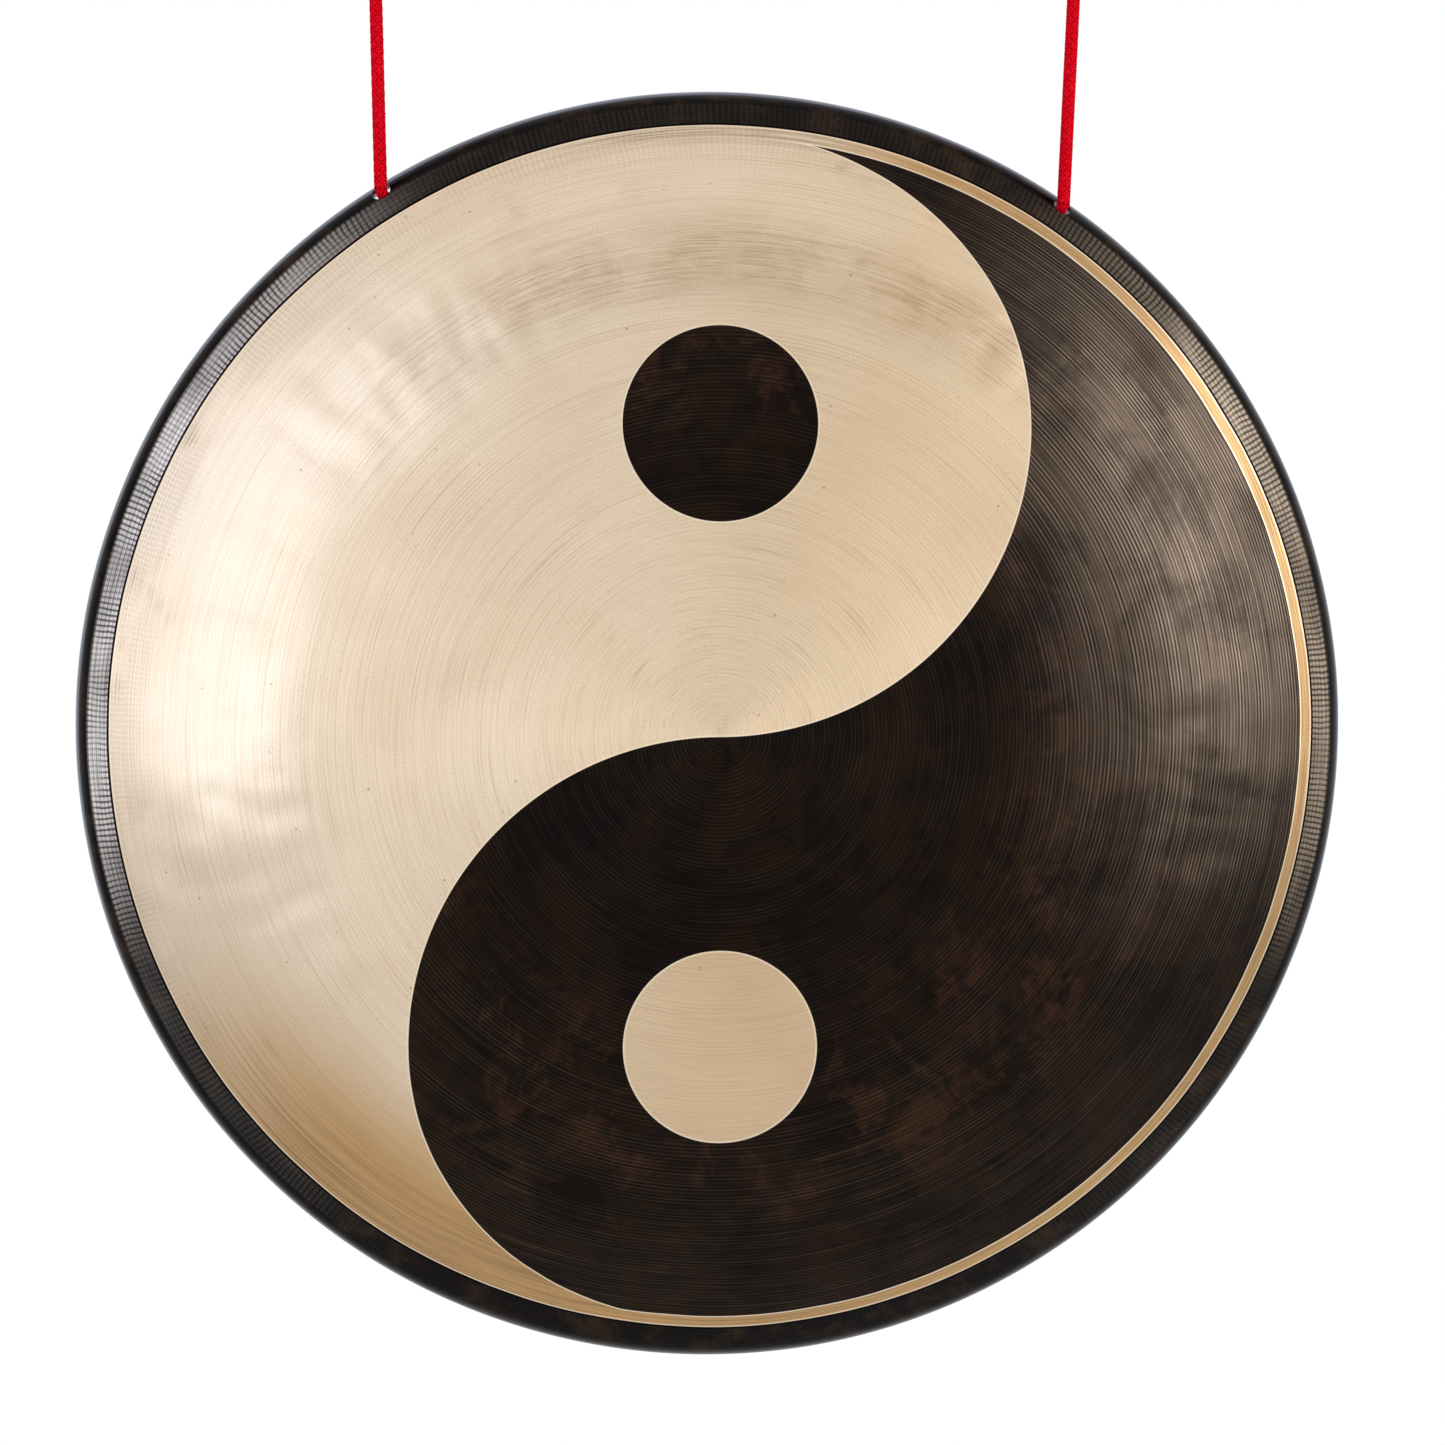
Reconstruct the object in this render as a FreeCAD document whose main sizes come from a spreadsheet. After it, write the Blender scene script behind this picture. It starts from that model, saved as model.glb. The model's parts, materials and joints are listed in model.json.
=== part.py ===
import FreeCAD, Part
import math
import os
import Sketcher

# Tam-tam: a hammered bronze gong hanging from two screw hooks on one round braided cord.
# Units are millimetres. +Z is up, the face looks towards -Y and +X is to the viewer's right.
# The origin is midway between the two hooks, in the plane where their collars meet the beam.
# The gong's own frame has its axis on Y and the middle of its face at the origin. It is
# then placed so that its mass centre hangs straight below the line through its cord holes.

Vector = FreeCAD.Vector
Rotation = FreeCAD.Rotation
Placement = FreeCAD.Placement

document = FreeCAD.newDocument("tam_tam")

# ---------------------------------------------------------------- driving dimensions

SIZES = [
    ("gong_radius", 300, "widest radius, at the rolled corner"),
    ("gong_depth", 78, "from the middle of the face to the back edge of the rim"),
    ("plate_thickness", 1.9, "bronze plate"),
    ("face_radius", 190, "nearly flat middle of the face"),
    ("face_rise", 3.5, "how far the middle stands in front of the edge of the flat"),
    ("crease_bend", 130, "bend radius between the middle and the sloping zone"),
    ("crease_end_radius", 244, "radius where the crease ends"),
    ("slope_bend", 364, "bend radius of the sloping zone"),
    ("band_edge_radius", 283, "outer edge of the bright ring, where the slope turns straight"),
    ("corner_bend", 15, "bend radius of the rolled corner"),
    ("rim_taper", 4, "degrees by which the rim narrows to the back"),
    ("hole_radius", 4.75, "cord holes"),
    ("hole_angle", 32.7, "degrees from the top of the gong to each hole"),
    ("hole_slope", 50, "degrees between the hole's axis and the gong's axis"),
    ("hole_drill", 30, "length of the drill that cuts a hole"),
    ("cord_diameter", 6.3, "round braided cord"),
    ("cord_inset", 1.5, "how far the strand stands in front of the hole's middle"),
    ("strand_gap", 1, "how far above its hole's middle a strand starts"),
    ("crossing_gap", 3.5, "how far inside a hole the crossing starts"),
    ("crossing_entry", 12, "how far the crossing follows the hole's axis before it turns"),
    ("hook_spacing", 334, "between the two hooks' studs"),
    ("wire_radius", 3, "hook wire, and the stud above it"),
    ("stud_length", 20, "stud above the collar"),
    ("stud_point", 1, "chamfer at the top of the stud"),
    ("collar_radius", 7, "collar that stops against the beam"),
    ("collar_height", 3, "collar thickness"),
    ("hook_bend", 10, "bend radius of the hook's round, at the middle of the wire"),
    ("neck_bend", 5, "bend radius of the neck between stud and round"),
    ("mouth_angle", 25, "degrees above level at which the hook's round stops"),
    ("tip_fillet", 1.5, "rounded end of the hook wire"),
    ("loop_half_width", 7.16, "half the width of the cord loop"),
    ("knot_top", 50, "top of the knots, below the origin"),
    ("knot_height", 21, "three turns of cord"),
    ("knot_fillet", 2.5, "rounded edges of the knots"),
    ("hole_drop", 195, "cord holes, below the origin"),
    ("seal_length", 6, "heat-sealed tip of each tail"),
    ("seal_fillet", 1.5, "rounded end of each tip"),
]

sheet = document.addObject("Spreadsheet::Sheet", "sizes")
for row, (alias, value, meaning) in enumerate(SIZES, start=1):
    sheet.set(f"A{row}", meaning)
    sheet.set(f"B{row}", str(value))
    sheet.setAlias(f"B{row}", alias)
document.recompute()


def size(alias):
    """The value of one cell of the sheet."""
    return float(sheet.get(alias))


# ---------------------------------------------------------------- helpers


def origin_feature(body, role):
    """One of a body's own origin planes or axes, found by its role."""
    return next(item for item in body.Origin.OriginFeatures if item.Role == role)


def new_body(name):
    """A body whose label is the name of its node."""
    body = document.addObject("PartDesign::Body", name)
    body.Label = name
    return body


def new_sketch(body, name, role):
    """A sketch on one of the body's origin planes."""
    sketch = body.newObject("Sketcher::SketchObject", name)
    sketch.AttachmentSupport = [(origin_feature(body, role), "")]
    sketch.MapMode = "FlatFace"
    return sketch


def add_datum(sketch, name, expression, *geometry):
    """A named sketch dimension that follows the sheet."""
    index = sketch.addConstraint(Sketcher.Constraint(*geometry))
    sketch.renameConstraint(index, name)
    sketch.setExpression(f"Constraints.{name}", expression)


def on_plane(across, along):
    """A point of a sketch."""
    return Vector(across, along, 0)


def add_arc(sketch, centre, radius, start, end):
    """An arc in a sketch, with its angles in degrees, counter-clockwise from start to end."""
    circle = Part.Circle(centre, Vector(0, 0, 1), radius)
    return sketch.addGeometry(Part.ArcOfCircle(circle, math.radians(start), math.radians(end)), False)


def add_line(sketch, start, end):
    """A straight line in a sketch."""
    return sketch.addGeometry(Part.LineSegment(start, end), False)


def add_closed_outline(sketch, corners):
    """Straight lines joined end to end. Returns their indices."""
    lines = [
        add_line(sketch, corners[index], corners[(index + 1) % len(corners)])
        for index in range(len(corners))
    ]
    for index, line in enumerate(lines):
        sketch.addConstraint(Sketcher.Constraint("Coincident", line, 2, lines[(index + 1) % len(lines)], 1))
    return lines


# ---------------------------------------------------------------- gong

# Each stretch of the gong's section is known by its slope, the angle between the plate and
# the plane of the face: 0 in the middle, 90 degrees at the widest point.


def gong_section():
    """Radii, slopes and centres of the section's stretches, as (across, along) pairs."""
    face_bend = (size("face_radius") ** 2 + size("face_rise") ** 2) / (2 * size("face_rise"))
    face_slope = math.asin(size("face_radius") / face_bend)
    crease_bend = size("crease_bend")
    face_end = on_plane(size("face_radius"), face_bend * (1 - math.cos(face_slope)))
    crease_centre = face_end + on_plane(
        -crease_bend * math.sin(face_slope), crease_bend * math.cos(face_slope)
    )
    crease_slope = math.asin((size("crease_end_radius") - crease_centre.x) / crease_bend)
    slope_bend = size("slope_bend")
    slope_centre = crease_centre + on_plane(
        (crease_bend - slope_bend) * math.sin(crease_slope),
        (slope_bend - crease_bend) * math.cos(crease_slope),
    )
    band_slope = math.asin((size("band_edge_radius") - slope_centre.x) / slope_bend)
    band_edge = slope_centre + on_plane(
        slope_bend * math.sin(band_slope), -slope_bend * math.cos(band_slope)
    )
    corner_bend = size("corner_bend")
    corner_across = size("gong_radius") - corner_bend
    shoulder_across = corner_across + corner_bend * math.sin(band_slope)
    shoulder_along = band_edge.y + (shoulder_across - band_edge.x) * math.tan(band_slope)
    corner_centre = on_plane(corner_across, shoulder_along + corner_bend * math.cos(band_slope))
    return {
        "face": (on_plane(0, face_bend), face_bend, 0, face_slope),
        "crease": (crease_centre, crease_bend, face_slope, crease_slope),
        "slope": (slope_centre, slope_bend, crease_slope, band_slope),
        "corner": (corner_centre, corner_bend, band_slope, math.radians(90 + size("rim_taper"))),
    }


def section_point(stretch, slope, inset=0):
    """The point of an arc of the section at a slope, moved into the plate by inset."""
    centre, bend, _, _ = stretch
    return centre + on_plane((bend - inset) * math.sin(slope), -(bend - inset) * math.cos(slope))


def add_section_side(sketch, section, inset):
    """One side of the plate, from the axis to the back edge. Returns the indices in order."""
    sides = {}
    for name, (centre, bend, start, end) in section.items():
        sides[name] = add_arc(
            sketch, centre, bend - inset, math.degrees(start) - 90, math.degrees(end) - 90
        )
    sides["shoulder"] = add_line(
        sketch,
        section_point(section["slope"], section["slope"][3], inset),
        section_point(section["corner"], section["corner"][2], inset),
    )
    rim_slope = section["corner"][3]
    rim_start = section_point(section["corner"], rim_slope, inset)
    back_edge = section_point(section["corner"], rim_slope)
    rim_length = (size("gong_depth") - back_edge.y) / math.sin(rim_slope)
    rim_run = on_plane(math.cos(rim_slope), math.sin(rim_slope)) * rim_length
    sides["rim"] = add_line(sketch, rim_start, rim_start + rim_run)
    order = [sides[name] for name in ("face", "crease", "slope", "shoulder", "corner", "rim")]
    for before, after in zip(order, order[1:]):
        sketch.addConstraint(Sketcher.Constraint("Tangent", before, 2, after, 1))
    return sides


def make_gong():
    """The bronze plate: a revolved section with two cord holes through its corner."""
    body = new_body("gong_body")
    sketch = new_sketch(body, "gong_section", "XY_Plane")
    section = gong_section()
    front = add_section_side(sketch, section, 0)
    back = add_section_side(sketch, section, size("plate_thickness"))
    axis_line = add_line(sketch, on_plane(0, 0), on_plane(0, size("plate_thickness")))
    edge_line = add_line(
        sketch, sketch.getPoint(front["rim"], 2), sketch.getPoint(back["rim"], 2)
    )
    for first, first_end, second, second_end in (
        (front["face"], 1, -1, 1),
        (axis_line, 1, front["face"], 1),
        (axis_line, 2, back["face"], 1),
        (edge_line, 1, front["rim"], 2),
        (edge_line, 2, back["rim"], 2),
        (back["face"], 3, front["face"], 3),
        (back["crease"], 3, front["crease"], 3),
        (back["slope"], 3, front["slope"], 3),
        (back["corner"], 3, front["corner"], 3),
    ):
        sketch.addConstraint(Sketcher.Constraint("Coincident", first, first_end, second, second_end))
    sketch.addConstraint(Sketcher.Constraint("PointOnObject", front["face"], 3, -2))
    sketch.addConstraint(Sketcher.Constraint("Vertical", axis_line))
    sketch.addConstraint(Sketcher.Constraint("Parallel", back["rim"], front["rim"]))
    sketch.addConstraint(Sketcher.Constraint("Perpendicular", edge_line, front["rim"]))
    face_bend = "(sizes.face_radius ^ 2 + sizes.face_rise ^ 2) / (2 * sizes.face_rise)"
    face_value = section["face"][1]
    thickness = size("plate_thickness")
    add_datum(sketch, "face_bend", face_bend, "Radius", front["face"], face_value)
    add_datum(
        sketch, "face_inner_bend", f"{face_bend} - sizes.plate_thickness",
        "Radius", back["face"], face_value - thickness,
    )
    add_datum(
        sketch, "face_radius", "sizes.face_radius",
        "DistanceX", -1, 1, front["face"], 2, size("face_radius"),
    )
    add_datum(sketch, "crease_bend", "sizes.crease_bend", "Radius", front["crease"], size("crease_bend"))
    add_datum(
        sketch, "crease_end_radius", "sizes.crease_end_radius",
        "DistanceX", -1, 1, front["crease"], 2, size("crease_end_radius"),
    )
    add_datum(sketch, "slope_bend", "sizes.slope_bend", "Radius", front["slope"], size("slope_bend"))
    add_datum(
        sketch, "band_edge_radius", "sizes.band_edge_radius",
        "DistanceX", -1, 1, front["slope"], 2, size("band_edge_radius"),
    )
    add_datum(sketch, "corner_bend", "sizes.corner_bend", "Radius", front["corner"], size("corner_bend"))
    add_datum(
        sketch, "corner_inner_bend", "sizes.corner_bend - sizes.plate_thickness",
        "Radius", back["corner"], size("corner_bend") - thickness,
    )
    add_datum(
        sketch, "corner_across", "sizes.gong_radius - sizes.corner_bend",
        "DistanceX", -1, 1, front["corner"], 3, size("gong_radius") - size("corner_bend"),
    )
    add_datum(
        sketch, "gong_depth", "sizes.gong_depth",
        "DistanceY", -1, 1, front["rim"], 2, size("gong_depth"),
    )
    add_datum(
        sketch, "rim_taper", "90 + sizes.rim_taper",
        "Angle", -1, 1, front["rim"], 1, math.radians(90 + size("rim_taper")),
    )
    plate = body.newObject("PartDesign::Revolution", "plate")
    plate.Profile = sketch
    plate.ReferenceAxis = (sketch, ["V_Axis"])
    plate.Angle = 360
    document.recompute()
    solid_volume = body.Shape.Volume

    hole = body.newObject("PartDesign::SubtractiveCylinder", "cord_hole")
    hole.setExpression("Radius", "sizes.hole_radius")
    hole.setExpression("Height", "sizes.hole_drill")
    centre, outward = hole_in_gong(1)
    hole.Placement = Placement(
        centre - outward * (size("hole_drill") / 2), Rotation(Vector(0, 0, 1), outward)
    )
    pair = body.newObject("PartDesign::Mirrored", "cord_holes")
    pair.Originals = [hole]
    pair.MirrorPlane = (origin_feature(body, "YZ_Plane"), [""])
    body.Tip = pair
    document.recompute()
    one_hole = math.pi * size("hole_radius") ** 2 * thickness
    assert body.Shape.Volume < solid_volume - 1.9 * one_hole, "the cord holes cut nothing"
    return body


def hole_in_gong(side):
    """The middle of a cord hole on the plate's outside and its axis, in the gong's frame."""
    slope = math.radians(size("hole_slope"))
    place = section_point(gong_section()["corner"], slope)
    angle = math.radians(size("hole_angle"))
    radial = Vector(side * math.sin(angle), 0, math.cos(angle))
    front = Vector(0, -1, 0)
    return radial * place.x - front * place.y, radial * math.sin(slope) + front * math.cos(slope)


def hang(gong):
    """The placement that hangs the gong with its mass centre below the line of its holes."""
    hole, _ = hole_in_gong(1)
    pivot = Vector(0, hole.y - size("cord_inset"), hole.z)
    mass_centre = gong.Shape.Solids[0].CenterOfMass
    lean = math.atan2(pivot.y - mass_centre.y, pivot.z - mass_centre.z)
    turn = Rotation(Vector(1, 0, 0), math.degrees(lean))
    print(f"hanging lean {math.degrees(lean):.2f} degrees, mass centre {mass_centre.y:.2f} mm deep")
    return Placement(Vector(0, 0, -size("hole_drop")) - turn.multVec(pivot), turn)


# ---------------------------------------------------------------- hooks


def make_hook(side, name):
    """A screw hook: stud and collar turned in one, and a wire bent into a neck and a round."""
    body = new_body(name)
    turned = new_sketch(body, f"{name}_stud_section", "XZ_Plane")
    corners = [
        on_plane(0, -size("collar_height")),
        on_plane(size("collar_radius"), -size("collar_height")),
        on_plane(size("collar_radius"), 0),
        on_plane(size("wire_radius"), 0),
        on_plane(size("wire_radius"), size("stud_length") - size("stud_point")),
        on_plane(size("wire_radius") - size("stud_point"), size("stud_length")),
        on_plane(0, size("stud_length")),
    ]
    under, collar_side, collar_top, stud_side, point, top, axis = add_closed_outline(turned, corners)
    for line in (under, collar_top, top):
        turned.addConstraint(Sketcher.Constraint("Horizontal", line))
    for line in (collar_side, stud_side):
        turned.addConstraint(Sketcher.Constraint("Vertical", line))
    turned.addConstraint(Sketcher.Constraint("PointOnObject", axis, 1, -2))
    turned.addConstraint(Sketcher.Constraint("PointOnObject", axis, 2, -2))
    turned.addConstraint(Sketcher.Constraint("PointOnObject", collar_top, 1, -1))
    add_datum(
        turned, "collar_radius", "sizes.collar_radius",
        "DistanceX", -1, 1, collar_side, 2, size("collar_radius"),
    )
    add_datum(
        turned, "collar_height", "sizes.collar_height",
        "DistanceY", collar_side, 1, collar_side, 2, size("collar_height"),
    )
    add_datum(
        turned, "wire_radius", "sizes.wire_radius",
        "DistanceX", -1, 1, stud_side, 1, size("wire_radius"),
    )
    add_datum(
        turned, "stud_length", "sizes.stud_length",
        "DistanceY", -1, 1, top, 1, size("stud_length"),
    )
    add_datum(
        turned, "point_across", "sizes.stud_point",
        "DistanceX", point, 2, point, 1, size("stud_point"),
    )
    add_datum(
        turned, "point_along", "sizes.stud_point",
        "DistanceY", point, 1, point, 2, size("stud_point"),
    )
    stud = body.newObject("PartDesign::Revolution", f"{name}_stud")
    stud.Profile = turned
    stud.ReferenceAxis = (turned, ["V_Axis"])
    stud.Angle = 360

    neck, bend = size("neck_bend"), size("hook_bend")
    drop = math.sqrt(bend ** 2 + 2 * bend * neck)
    join = math.degrees(math.atan2(drop, -neck))
    path = new_sketch(body, f"{name}_path", "XZ_Plane")
    neck_arc = add_arc(path, on_plane(-neck, -size("collar_height")), neck, join - 180, 0)
    round_centre = on_plane(0, -size("collar_height") - drop)
    round_arc = add_arc(path, round_centre, bend, join, 360 + size("mouth_angle"))
    path.addConstraint(Sketcher.Constraint("Tangent", neck_arc, 1, round_arc, 1))
    path.addConstraint(Sketcher.Constraint("PointOnObject", round_arc, 3, -2))
    path.addConstraint(Sketcher.Constraint("PointOnObject", neck_arc, 2, -2))
    path.addConstraint(Sketcher.Constraint("Horizontal", neck_arc, 3, neck_arc, 2))
    add_datum(path, "neck_bend", "sizes.neck_bend", "Radius", neck_arc, neck)
    add_datum(path, "hook_bend", "sizes.hook_bend", "Radius", round_arc, bend)
    add_datum(
        path, "neck_start", "sizes.collar_height",
        "DistanceY", neck_arc, 2, -1, 1, size("collar_height"),
    )
    add_datum(
        path, "mouth_height", "sizes.hook_bend * sin(sizes.mouth_angle * 1 deg)",
        "DistanceY", round_arc, 3, round_arc, 2, bend * math.sin(math.radians(size("mouth_angle"))),
    )
    wire_section = new_sketch(body, f"{name}_wire_section", "XY_Plane")
    wire_section.AttachmentOffset = Placement(Vector(0, 0, -size("collar_height")), Rotation())
    wire_section.setExpression("AttachmentOffset.Base.z", "-sizes.collar_height")
    circle = Part.Circle(Vector(0, 0, 0), Vector(0, 0, 1), size("wire_radius"))
    wire_section.addGeometry(circle, False)
    wire_section.addConstraint(Sketcher.Constraint("Coincident", 0, 3, -1, 1))
    add_datum(wire_section, "wire_radius", "sizes.wire_radius", "Radius", 0, size("wire_radius"))
    wire = body.newObject("PartDesign::AdditivePipe", f"{name}_wire")
    wire.Profile = wire_section
    wire.Spine = (path, [])
    body.Tip = wire
    document.recompute()

    mouth = math.radians(size("mouth_angle"))
    tip = Vector(bend * math.cos(mouth), 0, round_centre.y + bend * math.sin(mouth))
    ends = [
        f"Edge{index}"
        for index, edge in enumerate(body.Shape.Edges, start=1)
        if edge.CenterOfMass.distanceToPoint(tip) < size("wire_radius") / 2
    ]
    rounded = body.newObject("PartDesign::Fillet", f"{name}_tip")
    rounded.Base = (wire, ends)
    rounded.setExpression("Radius", "sizes.tip_fillet")
    body.Tip = rounded
    body.Placement = Placement(
        Vector(side * size("hook_spacing") / 2, 0, 0), Rotation(Vector(0, 0, 1), 90 - side * 90)
    )
    return body


def hook_wire_height():
    """Height of the middle of the wire at the bottom of the hook's round."""
    bend, neck = size("hook_bend"), size("neck_bend")
    return -size("collar_height") - math.sqrt(bend ** 2 + 2 * bend * neck) - bend


# ---------------------------------------------------------------- cord


def rounded_path(points):
    """A wire of straight runs joined by tangent arcs, and the radii of its arcs."""
    tangent_share = 0.45
    edges = []
    radii = []
    start = points[0]
    for before, corner, after in zip(points, points[1:], points[2:]):
        backward = (before - corner).normalize()
        forward = (after - corner).normalize()
        shorter = min((before - corner).Length, (after - corner).Length)
        reach = tangent_share * shorter
        half_turn = (math.pi - backward.getAngle(forward)) / 2
        radius = reach / math.tan(half_turn)
        inward = (backward + forward).normalize()
        middle = corner + inward * (radius / math.cos(half_turn) - radius)
        edges.append(Part.LineSegment(start, corner + backward * reach).toShape())
        arc = Part.Arc(corner + backward * reach, middle, corner + forward * reach)
        edges.append(arc.toShape())
        start = corner + forward * reach
        radii.append(radius)
    edges.append(Part.LineSegment(start, points[-1]).toShape())
    return Part.Wire(edges), radii


def make_tube(name, points, placement=None):
    """A plain round tube along a route, as one solid."""
    path, radii = rounded_path(points)
    radius = size("cord_diameter") / 2
    direction = (points[1] - points[0]).normalize()
    section = Part.Wire(Part.Circle(points[0], direction, radius).toShape())
    solid = path.makePipeShell([section], True, True)
    expected = math.pi * radius ** 2 * path.Length
    assert abs(solid.Volume / expected - 1) < 0.01, f"{name} has the wrong volume"
    print(f"{name}: length {path.Length:.1f} mm, radii", [round(value, 1) for value in radii])
    tube = document.addObject("Part::Feature", name)
    tube.Label = name
    tube.Shape = solid
    tube.Placement = placement or Placement()
    return tube


def on_strand(side, depth, height):
    """A point in the plane of one strand, which leans out from its hole to its hook."""
    hole, _ = hole_in_gong(1)
    rise = hook_wire_height() + size("hole_drop")
    lean = (size("hook_spacing") / 2 - hole.x) / rise
    return Vector(side * (hole.x + (height + size("hole_drop")) * lean), depth, height)


def strand_points(side):
    """From the hole straight up through the knot, over the hook and back down to the knot."""
    half = size("loop_half_width")
    wire = hook_wire_height()
    route = [
        (0, -size("hole_drop") + size("strand_gap")),
        (0, -53),
        (half, -38),
        (half, wire + 3.3),
        (0, wire + 7.4),
        (-half, wire + 3.3),
        (-7.6, -37),
        (-6.4, -size("knot_top")),
    ]
    return [on_strand(side, depth, height) for depth, height in route]


def crossing_points():
    """From the left hole along its axis, straight across behind the face and out of the right."""
    ends = []
    for side in (-1, 1):
        centre, outward = hole_in_gong(side)
        start = centre - outward * size("crossing_gap")
        ends.append((start, start - outward * size("crossing_entry")))
    (left_end, left_turn), (right_end, right_turn) = ends
    return [left_end, left_turn, right_turn, right_end]


def tail_points(side):
    """The short tail that hangs out of the bottom of the knot."""
    bottom = -size("knot_top") - size("knot_height")
    route = [(-6.3, bottom), (-6.7, bottom - 8), (-8.2, bottom - 17)]
    return [on_strand(side, depth, height) for depth, height in route]


def make_ring_piece(name, inner, outer, height, fillet, edge_heights):
    """A round piece on the Z axis, standing on the XY plane, with rounded outer edges."""
    body = new_body(name)
    sketch = new_sketch(body, f"{name}_section", "XZ_Plane")
    low, high = 0, size(height)
    inner_size = size("cord_diameter") / 2 if inner else 0
    outer_size = size("cord_diameter") * outer
    corners = [
        on_plane(inner_size, low), on_plane(outer_size, low),
        on_plane(outer_size, high), on_plane(inner_size, high),
    ]
    bottom, wall, top, bore = add_closed_outline(sketch, corners)
    for line in (bottom, top):
        sketch.addConstraint(Sketcher.Constraint("Horizontal", line))
    for line in (wall, bore):
        sketch.addConstraint(Sketcher.Constraint("Vertical", line))
    sketch.addConstraint(Sketcher.Constraint("PointOnObject", bottom, 1, -1))
    if inner:
        add_datum(
            sketch, "bore_radius", "sizes.cord_diameter / 2",
            "DistanceX", -1, 1, bottom, 1, inner_size,
        )
    else:
        sketch.addConstraint(Sketcher.Constraint("PointOnObject", bore, 1, -2))
    add_datum(
        sketch, "outer_radius", f"sizes.cord_diameter * {outer}",
        "DistanceX", -1, 1, bottom, 2, outer_size,
    )
    add_datum(sketch, "length", f"sizes.{height}", "DistanceY", wall, 1, wall, 2, high)
    turned = body.newObject("PartDesign::Revolution", f"{name}_turned")
    turned.Profile = sketch
    turned.ReferenceAxis = (sketch, ["V_Axis"])
    turned.Angle = 360
    document.recompute()
    edges = [
        f"Edge{index}"
        for index, edge in enumerate(body.Shape.Edges, start=1)
        if isinstance(edge.Curve, Part.Circle)
        and abs(edge.Curve.Radius - outer_size) < 0.01
        and any(abs(edge.CenterOfMass.z - level * high) < 0.01 for level in edge_heights)
    ]
    rounded = body.newObject("PartDesign::Fillet", f"{name}_edges")
    rounded.Base = (turned, edges)
    rounded.setExpression("Radius", f"sizes.{fillet}")
    body.Tip = rounded
    return body


def make_knot(side, name):
    """The outer shape of three turns of cord round the strand."""
    knot = make_ring_piece(name, True, 1.5, "knot_height", "knot_fillet", (0, 1))
    low = on_strand(side, 0, -size("knot_top") - size("knot_height"))
    high = on_strand(side, 0, -size("knot_top"))
    knot.Placement = Placement(low, Rotation(Vector(0, 0, 1), high - low))
    return knot


def make_seal(side, name):
    """The heat-sealed tip on a tail."""
    seal = make_ring_piece(name, False, 0.5, "seal_length", "seal_fillet", (1,))
    before, end = tail_points(side)[-2:]
    seal.Placement = Placement(end, Rotation(Vector(0, 0, 1), end - before))
    return seal


# ---------------------------------------------------------------- assembly

gong = make_gong()
hanging = hang(gong)
gong.Placement = hanging
sub_parts = [gong, make_tube("cord_crossing", crossing_points(), hanging)]
for side, word in ((-1, "left"), (1, "right")):
    sub_parts += [
        make_hook(side, f"hook_{word}"),
        make_tube(f"cord_{word}", strand_points(side)),
        make_knot(side, f"knot_{word}"),
        make_tube(f"tail_{word}", tail_points(side)),
        make_seal(side, f"tail_tip_{word}"),
    ]
document.recompute()

for item in document.Objects:
    failed = {"Invalid", "Error"} & set(item.State)
    assert not failed, f"{item.Label} is {failed}"
for item in sub_parts:
    shape = item.Shape
    assert not shape.isNull() and shape.isValid(), f"{item.Label} has a bad shape"
    assert len(shape.Solids) == 1, f"{item.Label} has {len(shape.Solids)} solids"
    box = shape.BoundBox
    print(
        f"{item.Label}: volume {shape.Volume:.0f} mm3, X {box.XMin:.1f} to {box.XMax:.1f},"
        f" Y {box.YMin:.1f} to {box.YMax:.1f}, Z {box.ZMin:.1f} to {box.ZMax:.1f}"
    )

os.makedirs("parts", exist_ok=True)
for item in sub_parts:
    item.Shape.Solids[0].exportStep(f"parts/{item.Label}.step")
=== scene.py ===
import json
import math

import bmesh
import bpy
import numpy as np
from mathutils import Euler, Matrix, Vector


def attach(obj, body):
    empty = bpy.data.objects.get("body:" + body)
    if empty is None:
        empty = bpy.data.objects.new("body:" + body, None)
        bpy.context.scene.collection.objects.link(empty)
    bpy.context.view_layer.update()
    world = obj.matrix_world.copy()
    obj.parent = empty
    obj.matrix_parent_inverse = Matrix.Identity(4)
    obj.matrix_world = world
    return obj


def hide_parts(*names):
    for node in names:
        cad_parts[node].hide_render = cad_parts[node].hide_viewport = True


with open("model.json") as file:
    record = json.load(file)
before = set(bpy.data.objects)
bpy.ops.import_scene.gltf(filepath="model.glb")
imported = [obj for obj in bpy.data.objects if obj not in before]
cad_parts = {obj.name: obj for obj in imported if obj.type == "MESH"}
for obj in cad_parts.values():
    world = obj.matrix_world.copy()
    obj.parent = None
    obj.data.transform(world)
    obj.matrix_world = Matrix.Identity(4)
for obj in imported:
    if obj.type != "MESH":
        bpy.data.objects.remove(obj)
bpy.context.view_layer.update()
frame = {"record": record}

MM = 0.001
SEED = 24
joints = {joint["name"]: joint for joint in frame["record"]["behaviour"]["joints"]}

# ---------------------------------------------------------------- the gong's section
# The same section as the CAD plate, in metres. s is the length along the plate from the
# middle of the face, and slope is the angle between the plate and the plane of the face.

THICKNESS = 1.9 * MM
FACE_RADIUS = 190 * MM
FACE_RISE = 3.5 * MM
CREASE_BEND = 130 * MM
CREASE_END_RADIUS = 244 * MM
SLOPE_BEND = 364 * MM
BAND_EDGE_RADIUS = 283 * MM
CORNER_BEND = 15 * MM
GONG_RADIUS = 300 * MM
GONG_DEPTH = 78 * MM
RIM_TAPER = math.radians(4)
HOLE_RADIUS = 4.75 * MM
HOLE_ANGLE = math.radians(32.7)
HOLE_SLOPE = math.radians(50)
HANG_LEAN = math.radians(5.87)
CORD_INSET = 1.5 * MM


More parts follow.
